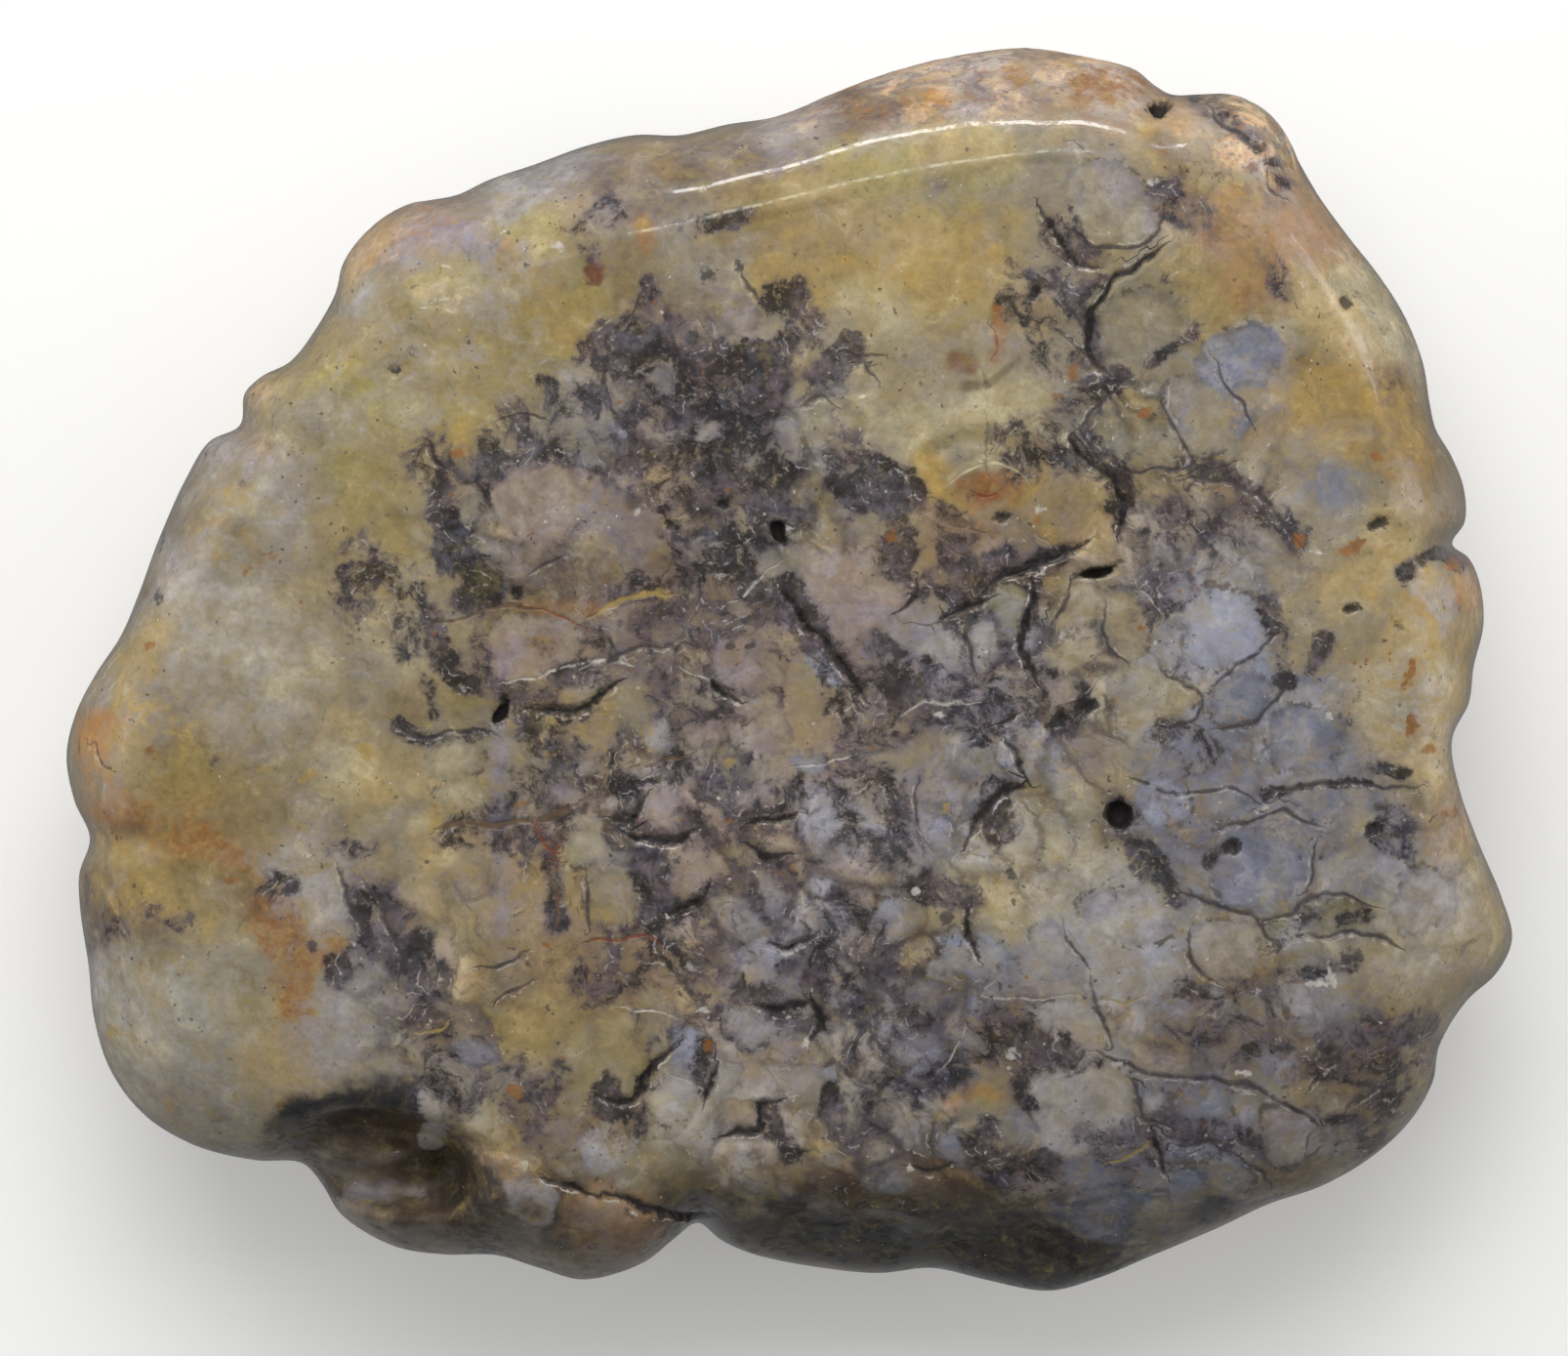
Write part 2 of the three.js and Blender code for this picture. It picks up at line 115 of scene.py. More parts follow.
# Outline of the widest line in plan, lobe by lobe, clockwise from the upper left.
OUTLINE: dict[str, list[Point]] = {
    "brow_lobe": [(343, 300), (350, 271), (364, 248), (388, 225), (418, 208), (440, 204)],
    "top_slope": [
        (468, 199), (500, 184), (550, 167), (600, 149), (650, 138), (698, 138), (745, 127), (795, 118),
    ],
    "crown": [(850, 95), (920, 69), (985, 54), (1050, 47), (1110, 56), (1163, 70), (1184, 87), (1200, 96)],
    "ear": [(1232, 96), (1262, 96), (1292, 108), (1317, 134), (1335, 172)],
    "right_slope": [(1352, 202), (1382, 243), (1412, 281), (1440, 325), (1458, 372)],
    "right_neck": [(1465, 415), (1471, 440), (1486, 466), (1499, 500), (1500, 535)],
    "right_cleft": [(1488, 557), (1504, 571)],
    "cheek": [(1516, 600), (1519, 640), (1509, 683), (1504, 720)],
    "right_bay": [(1486, 757), (1493, 803), (1512, 857)],
    "beak": [(1538, 918), (1549, 962), (1533, 997)],
    "heel_bay": [(1503, 1025), (1475, 1072)],
    "heel": [(1468, 1108), (1446, 1147), (1405, 1186), (1355, 1215)],
    "under_slope": [(1300, 1234), (1250, 1258), (1180, 1288), (1125, 1311)],
    "keel": [(1075, 1324), (1010, 1313), (955, 1301), (900, 1306), (840, 1300)],
    "bottom_cleft": [(772, 1286), (738, 1271), (714, 1254), (690, 1270)],
    "toe": [(660, 1293), (598, 1311), (552, 1299), (510, 1286)],
    "chin": [(455, 1285), (405, 1277), (352, 1246), (328, 1212), (308, 1192)],
    "jaw": [(260, 1188), (200, 1173), (150, 1143), (115, 1098), (97, 1042), (91, 988)],
    "left_cleft": [(82, 930), (81, 895), (91, 857)],
    "left_lobe": [(76, 820), (68, 775), (77, 732), (98, 690), (124, 650)],
    "left_slope": [(143, 605), (163, 550), (189, 492), (214, 452)],
    "left_step": [(245, 435), (250, 403), (268, 385), (297, 370), (322, 338)],
}


def eased(value: np.ndarray) -> np.ndarray:
    """Smooth step of a share from 0 to 1."""
    share = np.clip(value, 0.0, 1.0)
    return share * share * (3.0 - 2.0 * share)


def fade(low: float, high: float, value: np.ndarray) -> np.ndarray:
    """Smooth step from 0 at low to 1 at high."""
    return eased((np.asarray(value, float) - low) / (high - low))


def curve_through(points: np.ndarray, at: np.ndarray, closed: bool) -> np.ndarray:
    """A smooth centripetal curve through points.

    Args:
        points: the points that the curve passes through, one a row.
        at: places along the curve, counted in points, so 2.5 is halfway from point 2 to point 3.
        closed: whether the curve joins its ends.

    Returns:
        One point of the curve for each place.
    """
    count = len(points)
    if closed:
        first = np.floor(at).astype(int)
        rows = [(first + k) % count for k in (-1, 0, 1, 2)]
    else:
        first = np.clip(np.floor(at).astype(int), 0, count - 2)
        rows = [np.clip(first + k, 0, count - 1) for k in (-1, 0, 1, 2)]
    share = (at - first)[:, None]
    p0, p1, p2, p3 = (points[row] for row in rows)
    if not closed:
        p0 = np.where((first == 0)[:, None], 2 * p1 - p2, p0)
        p3 = np.where((first == count - 2)[:, None], 2 * p2 - p1, p3)
    d0, d1, d2 = (
        np.maximum(np.sqrt(np.linalg.norm(b - a, axis=1)), TINY)[:, None]
        for a, b in ((p0, p1), (p1, p2), (p2, p3))
    )
    t1 = ((p1 - p0) / d0 - (p2 - p0) / (d0 + d1) + (p2 - p1) / d1) * d1
    t2 = ((p2 - p1) / d1 - (p3 - p1) / (d1 + d2) + (p3 - p2) / d2) * d1
    square, cube = share**2, share**3
    return p1 + t1 * share + (3 * (p2 - p1) - 2 * t1 - t2) * square + (2 * (p1 - p2) + t1 + t2) * cube


# ---- The nodule's form ----


@dataclass(frozen=True)
class Form:
    """A lump or hollow of the face on the plan grid; its height is in metres."""

    at: Point
    size: Point
    turn: float
    height: float
    stepped: bool = False


@dataclass(frozen=True)
class Swell:
    """A fold or swelling of the underside: compass angle, dip and spread in degrees, height in metres."""

    angle: float
    dip: float
    spread: float
    height: float


FACE_FORMS: dict[str, Form] = {
    "brow lobe": Form((408, 250), (80, 48), 35, 0.7 * MM),
    "dimple beside the brow": Form((478, 272), (44, 30), 10, -0.6 * MM),
    "ear knob": Form((1288, 140), (44, 34), -50, 0.9 * MM),
    "ear crease": Form((1246, 128), (16, 44), 40, -0.8 * MM),
    "crown hollow": Form((1186, 112), (20, 26), 0, -0.9 * MM),
    "right cleft": Form((1484, 561), (34, 15), 10, -1.3 * MM),
    "right bay": Form((1478, 757), (34, 34), 0, -0.6 * MM),
    "beak": Form((1522, 958), (38, 44), 0, 0.4 * MM),
    "heel bay": Form((1478, 1062), (44, 26), 35, -0.8 * MM),
    "keel slope": Form((985, 1272), (190, 46), 0, -1.8 * MM),
    "bottom cleft": Form((716, 1250), (16, 40), 10, -1.6 * MM),
    "orange lump": Form((640, 1268), (52, 40), 10, 1.3 * MM),
    "grey lump": Form((536, 1228), (50, 40), -35, 1.5 * MM),
    "chin hollow": Form((392, 1186), (104, 50), -8, -3.0 * MM, True),
    "chin ledge": Form((408, 1240), (60, 22), -15, 0.9 * MM),
    "chin knot": Form((346, 1174), (28, 17), -25, 0.8 * MM),
    "chin knuckle": Form((402, 1184), (30, 15), 12, 0.9 * MM),
    "chin notch": Form((468, 1196), (20, 34), 15, -0.8 * MM),
    "jaw lobe": Form((195, 1055), (120, 100), -30, 0.9 * MM),
    "left cleft": Form((104, 862), (52, 15), 5, -0.9 * MM),
    "left lobe": Form((112, 765), (50, 76), 0, 0.6 * MM),
    "left step": Form((256, 430), (34, 16), -35, -0.7 * MM),
    "upper swell": Form((600, 400), (230, 150), 0, 0.3 * MM),
    "middle dip": Form((840, 720), (200, 150), -30, -0.3 * MM),
    "right swell": Form((1250, 1000), (200, 150), 0, 0.35 * MM),
    "blue hollow": Form((1130, 1225), (150, 44), 20, -0.7 * MM),
}

UNDERSIDE: dict[str, Swell] = {
    "shank fold": Swell(20, 38, 20, 0.9 * MM),
    "shank crease": Swell(48, 40, 9, -0.8 * MM),
    "crown pad": Swell(84, 34, 22, 1.0 * MM),
    "brow crease": Swell(118, 44, 9, -0.9 * MM),
    "brow pad": Swell(142, 40, 17, 0.7 * MM),
    "left crease": Swell(168, 36, 9, -0.8 * MM),
    "jaw pad": Swell(204, 38, 20, 0.9 * MM),
    "chin crease": Swell(236, 42, 10, -1.0 * MM),
    "keel pad": Swell(282, 36, 22, 1.0 * MM),
    "heel crease": Swell(318, 44, 10, -0.9 * MM),
    "heel pad": Swell(342, 38, 13, 0.6 * MM),
}


@dataclass
class Surface:
    """The stone's vertices and triangles, and where each vertex lies.

    plan is on the grid. below runs from -1 on the face through 0 at the widest line to 1 at the flat.
    """

    places: np.ndarray
    triangles: np.ndarray
    plan: np.ndarray
    below: np.ndarray


@dataclass
class Nodule:
    """The stone's form: a domed face, an edge that rolls over and a belly with a small resting flat."""

    rim_level: float = 10.4 * MM
    face_rise: float = 7.1 * MM
    face_crown: float = 2.3 * MM
    face_span: Point = (37 * MM, 32 * MM)
    flat_centre: Point = (1.0 * MM, -1.5 * MM)
    flat_half: Point = (12.5 * MM, 10 * MM)
    step_wall: Point = (0.6, 1.25)
    sway_from: float = 0.4
    rounding_reach: int = 4
    dip_reach: float = 1.4
    # Compass angles in degrees, and the width of the rolled edge there in millimetres.
    edge_roll: tuple[tuple[float, float], ...] = (
        (0, 3.0), (30, 3.6), (58, 4.8), (90, 5.2), (120, 4.6), (150, 3.6), (180, 2.8),
        (215, 3.2), (240, 4.6), (270, 5.6), (300, 4.8), (330, 3.4), (360, 3.0),
    )
    # Waves in a turn, height in millimetres and phase.
    rim_waves: tuple[tuple[float, float, float], ...] = ((2, 0.6, 0.7), (3, 0.45, 2.1), (7, 0.22, 1.3))
    rim_stations: int = 800
    shoulder_stations: int = 770
    roll_rings: int = 32
    face_rings: int = 132
    belly_rings: int = 44
    belly_stations: int = 150
    fewest_stations: int = 7
    outline: np.ndarray = field(init=False)

    def __post_init__(self) -> None:
        """Puts the outline in metres, counter-clockwise from above, and fits it in the CAD box."""
        points = np.array([point for lobe in OUTLINE.values() for point in lobe], float)[::-1]
        self.outline = GRID.to_metres(points)
        sampled = self.rim_at(np.linspace(0, 1, 4 * self.rim_stations, endpoint=False))
        low, high = sampled.min(0), sampled.max(0)
        box_low, box_high = (np.array(corner[:2]) for corner in CAD_BOX)
        self.outline = (self.outline - low) / (high - low) * (box_high - box_low) + box_low

    def rim_at(self, turn: np.ndarray) -> np.ndarray:
        """Points of the outline at shares of a turn."""
        return curve_through(self.outline, (turn % 1.0) * len(self.outline), True)

    def rounded_at(self, turn: np.ndarray) -> np.ndarray:
        """Points of the outline with its narrow clefts averaged out."""
        reach = range(-self.rounding_reach, self.rounding_reach + 1)
        return sum(self.rim_at(turn + k / len(self.outline)) for k in reach) / len(reach)

    def roll_width(self, angle: np.ndarray) -> np.ndarray:
        """Width of the rolled edge.

        Args:
            angle: compass angles in degrees.

        Returns:
            The width at each angle, in metres.
        """
        at = np.mod(angle, 360.0)
        stops = np.array(self.edge_roll)
        after = np.clip(np.searchsorted(stops[:, 0], at, side="right"), 1, len(stops) - 1)
        (a0, w0), (a1, w1) = stops[after - 1].T, stops[after].T
        return (w0 + (w1 - w0) * eased((at - a0) / (a1 - a0))) * MM

    def rim_height(self, angle: np.ndarray) -> np.ndarray:
        """Height of the widest line at compass angles in degrees, without the relief."""
        waves = (high * MM * np.sin(count * angle * RADIANS + phase) for count, high, phase in self.rim_waves)
        return self.rim_level + sum(waves)

    def relief(self, place: np.ndarray) -> np.ndarray:
        """Height that the lumps and hollows of the face add.

        Args:
            place: places in plan, in metres.

        Returns:
            The added height at each place.
        """
        plan = GRID.from_metres(place)
        height = np.zeros(len(place))
        for form in FACE_FORMS.values():
            away = form_distance(plan, form.at, form.size, form.turn)
            shape = 1 - fade(*self.step_wall, away) if form.stepped else np.exp(-away * away)
            height += form.height * shape
        return height

    def crown(self, place: np.ndarray) -> np.ndarray:
        """Height of the face's dome over its shoulder."""
        return self.face_crown * (1 - ((place / self.face_span) ** 2).sum(1))

    def edge(self, turn: np.ndarray, roll: float) -> np.ndarray:
        """A ring of the rolled edge.

        Args:
            turn: shares of a turn.
            roll: from 0 degrees at the widest line to 90 at the shoulder.

        Returns:
            One place for each share.
        """
        rim = self.rim_at(turn)
        angle = compass(rim)
        inward = -rim / np.linalg.norm(rim, axis=1)[:, None]
        depth = self.roll_width(angle) * (1 - math.cos(roll * RADIANS))
        ease = float(eased(np.array(roll / 90)))
        flat = rim * (1 - ease) + self.rounded_at(turn) * ease + inward * depth[:, None]
        rise = (self.face_rise + self.crown(flat)) * math.sin(roll * RADIANS)
        return np.column_stack([flat, self.rim_height(angle) + rise + self.relief(flat)])

    def face(self, turn: np.ndarray, reach: float) -> np.ndarray:
        """A ring of the face inside its shoulder.

        Args:
            turn: shares of a turn.
            reach: share of the way out from the middle.

        Returns:
            One place for each share of a turn.
        """
        shoulder = self.edge(turn, 90)[:, :2]
        sway = self.rim_height(compass(shoulder)) - self.rim_level
        sway = sway * fade(self.sway_from, 1, np.array(reach))
        flat = shoulder * reach
        height = self.rim_level + sway + self.face_rise + self.crown(flat) + self.relief(flat)
        return np.column_stack([flat, height])

    def fold(self, angle: np.ndarray, dip: float) -> np.ndarray:
        """How far the underside swells out or folds in.

        Args:
            angle: compass angles in degrees.
            dip: from 0 degrees at the widest line to 90 at the flat.

        Returns:
            The swelling at each angle, in metres.
        """
        height = np.zeros(len(angle))
        for swell in UNDERSIDE.values():
            across = np.mod(angle - swell.angle + 180, 360) - 180
            away = np.hypot(across / swell.spread, (dip - swell.dip) / (self.dip_reach * swell.spread))
            height += swell.height * np.exp(-away * away)
        return height * math.sin(2 * dip * RADIANS)

    def belly(self, turn: np.ndarray, dip: float) -> np.ndarray:
        """A ring of the underside.

        Args:
            turn: shares of a turn.
            dip: from 0 degrees at the widest line to 90 at the edge of the flat.

        Returns:
            One place for each share.
        """
        rim = self.rim_at(turn)
        angle = compass(rim)
        rim_z = self.rim_height(angle) + self.relief(rim)
        out = np.column_stack([np.cos(angle * RADIANS), np.sin(angle * RADIANS)])
        flat = np.array(self.flat_centre) + out * self.flat_half
        share, drop = math.cos(dip * RADIANS), math.sin(dip * RADIANS)
        swell = self.fold(angle, dip)
        place = rim * share + flat * (1 - share) + out * (share * swell)[:, None]
        return np.column_stack([place, np.maximum(rim_z * (1 - drop) - drop * swell, 0.0)])

    @staticmethod
    def count_between(first: int, last: int, share: float) -> int:
        """How many stations a ring has between two others."""
        return round(first + (last - first) * share)

    def build(self) -> Surface:
        """Lays the rings from the face's middle over the edge to the belly.

        Returns:
            The closed surface.
        """
        stack = RingStack()
        rim_turns = stations(self.rim_stations)
        rim = stack.ring(self.edge(rim_turns, 0), 0.0)
        outer = rim
        for k in range(1, self.roll_rings + 1):
            share = k / self.roll_rings
            count = self.count_between(self.rim_stations, self.shoulder_stations, share)
            inner = stack.ring(self.edge(stations(count), 90 * share), -share)
            stack.zip(outer, inner, True)
            outer = inner
        for k in range(self.face_rings - 1, 0, -1):
            reach = k / self.face_rings
            count = max(self.fewest_stations, round(self.shoulder_stations * reach))
            inner = stack.ring(self.face(stations(count), reach), -1.0)
            stack.zip(outer, inner, True)
            outer = inner
        stack.cap(outer, self.face(np.zeros(1), 0.0), -1.0, True)
        outer = rim
        for k in range(1, self.belly_rings + 1):
            dip = 90 * k / self.belly_rings
            count = self.count_between(self.rim_stations, self.belly_stations, math.sin(dip * RADIANS))
            inner = stack.ring(self.belly(stations(count), dip), dip / 90)
            stack.zip(outer, inner, False)
            outer = inner
        stack.cap(outer, np.array([[*self.flat_centre, 0.0]]), 1.0, False)
        surface = stack.surface()
        top = CAD_BOX[1][2]
        surface.places[:, 2] *= top / surface.places[:, 2].max()
        return surface


def form_distance(plan: np.ndarray, at: Point, size: Point, turn: float) -> np.ndarray:
    """Distance from the middle of a form.

    Args:
        plan: points on the grid.
        at: the form's middle.
        size: its half sizes in steps.
        turn: how far it is turned, in degrees.

    Returns:
        The distance of each point, in shares of the half sizes.
    """
    away = plan - at
    cos, sin = math.cos(turn * RADIANS), math.sin(turn * RADIANS)
    along = away[:, 0] * cos - away[:, 1] * sin
    across = away[:, 0] * sin + away[:, 1] * cos
    return np.hypot(along / size[0], across / size[1])


def compass(places: np.ndarray) -> np.ndarray:
    """Compass angle of places from the middle, in degrees."""
    return np.degrees(np.arctan2(places[:, 1], places[:, 0]))


def stations(count: int) -> np.ndarray:
    """Evenly spread shares of a turn."""
    return np.arange(count) / count


@dataclass
class RingStack:
    """Rings of vertices whose neighbours are zipped together with triangles."""

    places: list[np.ndarray] = field(default_factory=list)
    below: list[np.ndarray] = field(default_factory=list)
    triangles: list[np.ndarray] = field(default_factory=list)
    count: int = 0

    def ring(self, places: np.ndarray, below: float) -> np.ndarray:
        """Adds a ring.

        Args:
            places: its vertices, one a row.
            below: where it lies, from -1 on the face through 0 at the widest line to 1 at the flat.

        Returns:
            The numbers of its vertices.
        """
        numbers = np.arange(self.count, self.count + len(places))
        self.places.append(places)
        self.below.append(np.full(len(places), below))
        self.count += len(places)
        return numbers

    def add(self, triangles: np.ndarray, upward: bool) -> None:
        """Keeps triangles, turned so that they face out."""
        self.triangles.append(triangles if upward else triangles[:, ::-1])

    def zip(self, outer: np.ndarray, inner: np.ndarray, upward: bool) -> None:
        """Joins two rings with triangles, in order of their shares of a turn.

        Args:
            outer: vertex numbers of the outer ring.
            inner: vertex numbers of the inner ring.
            upward: whether the outer ring runs counter-clockwise as seen from outside.
        """
        n, m = len(outer), len(inner)
        ends = np.concatenate([(np.arange(n) + 1) / n, (np.arange(m) + 1) / m + TINY])
        is_outer = np.concatenate([np.ones(n, bool), np.zeros(m, bool)])[np.argsort(ends, kind="stable")]
        i = np.cumsum(is_outer) - is_outer
        j = np.cumsum(~is_outer) - ~is_outer
        third = np.where(is_outer, outer[(i + 1) % n], inner[(j + 1) % m])
        self.add(np.column_stack([outer[i % n], third, inner[j % m]]), upward)

    def cap(self, ring: np.ndarray, centre: np.ndarray, below: float, upward: bool) -> None:
        """Closes a ring with a fan."""
        middle = np.full(len(ring), self.ring(centre, below)[0])
        self.add(np.column_stack([ring, np.roll(ring, -1), middle]), upward)

    def surface(self) -> Surface:
        """The rings as one surface."""
        places = np.vstack(self.places)
        plan = GRID.from_metres(places[:, :2])
        return Surface(places, np.vstack(self.triangles), plan, np.concatenate(self.below))


# ---- Markings, with painted shade, painted light and painted glints ----


class Tint(Enum):
    """Colours of the stone, as the eye sees them in even light, from 0 to 255."""

    GREY = (140, 131, 115)
    LILAC = (156, 150, 149)
    PALE_GREY = (154, 150, 140)
    PALE_LILAC = (174, 169, 170)
    PALE_SAND = (172, 165, 150)
    WHITE = (196, 190, 182)
    MAUVE = (143, 131, 128)
    PLUM = (95, 84, 90)
    PINK = (148, 130, 121)
    LAVENDER = (140, 134, 149)
    BLUE = (111, 117, 137)
    SLATE = (84, 90, 104)
    PALE_BLUE = (150, 156, 176)
    CREAM = (166, 156, 130)
    PALE_CREAM = (186, 175, 142)
    PALE_OCHRE = (180, 158, 116)
    MOSS = (124, 119, 98)
    SAND = (147, 133, 105)
    KHAKI = (148, 131, 84)
    OCHRE = (162, 138, 82)
    GOLD = (172, 142, 78)
    LEMON = (162, 150, 88)
    OLIVE = (112, 98, 60)
    TAN = (146, 122, 92)
    BROWN = (98, 78, 60)
    UMBER = (70, 56, 46)
    RUST = (138, 92, 48)
    ORANGE = (176, 120, 58)
    RED = (124, 66, 42)
    TERRACOTTA = (160, 122, 92)
    PEACH = (196, 162, 126)
    CHARCOAL = (66, 61, 64)
    BLACK = (34, 32, 32)

    def linear(self) -> Colour:
        """The colour in linear light, from 0 to 1."""
        shares = (channel / 255 for channel in self.value)
        return tuple(s / 12.92 if s <= 0.04045 else ((s + 0.055) / 1.055) ** 2.4 for s in shares)


class Layer(Enum):
    """Which of the stone's layers of colour a stain lies in."""

    GROUND = "ground"
    BLOOM = "bloom"
    MOSAIC = "mosaic"
    SOOT = "soot"


@dataclass(frozen=True)
class Stain:
    """A soft patch, or a streak through several points, on the plan grid.

    reach is half its width in steps. amount is its opacity in the ground, and how closely its patches
    stand in the bloom, the soot and the mosaic.
    """

    layer: Layer
    tint: Tint
    reach: float
    amount: float
    path: tuple[Point, ...]


@dataclass(frozen=True)
class Clast:
    """A cell of one colour with a crisp border, set in the darker stone."""

    tint: Tint
    border: tuple[Point, ...]


@dataclass(frozen=True)
class Seam:
    """A crisp vein or crack, or a painted glint along a crack's edge: its width in steps, how far it is open
    in metres, and its path.
    """

    tint: Tint
    width: float
    depth: float
    path: tuple[Point, ...]


@dataclass(frozen=True)
class Spot:
    """A crisp speck or open pit: its middle, half sizes in steps, turn, and depth in metres."""

    tint: Tint
    at: Point
    size: Point
    turn: float = 0.0
    depth: float = 0.0


def entries(text: str) -> Iterator[tuple[list[str], str]]:
    """Reads entries such as "KHAKI 0.85 = 120: 470,380; 90: 330,470 390,540".

    Args:
        text: the entries, whose marks hold no capitals.

    Returns:
        The words before the equals sign and the text after it, entry by entry.
    """
    for head, body in re.findall(r"([A-Z][A-Z_ \d.]*?) = ([^A-Z]+)", text):
        yield head.split(), body


def strokes(text: str) -> Iterator[tuple[float, tuple[Point, ...]]]:
    """Reads strokes written as a width, a colon and points, such as "12: 300,410 320,430; 9: 80,95".

    Args:
        text: the strokes, with semicolons between them.

    Returns:
        The width and the points of each stroke.
    """
    for stroke in text.split(";"):
        width, path = stroke.split(":")
        yield float(width), points(path)


def points(text: str) -> tuple[Point, ...]:
    """Reads points such as "300,410 320,430"."""
    return tuple(tuple(float(number) for number in pair.split(",")) for pair in text.split())


def stains(layer: Layer, text: str) -> list[Stain]:
    """Reads the stains of one layer.

    Args:
        layer: the layer.
        text: entries that start with a tint and an amount, and go on with strokes.

    Returns:
        The stains, from the lowest to the uppermost.
    """
    return [
        Stain(layer, Tint[tint], reach, float(amount), path)
        for (tint, amount), body in entries(text)
        for reach, path in strokes(body)
    ]
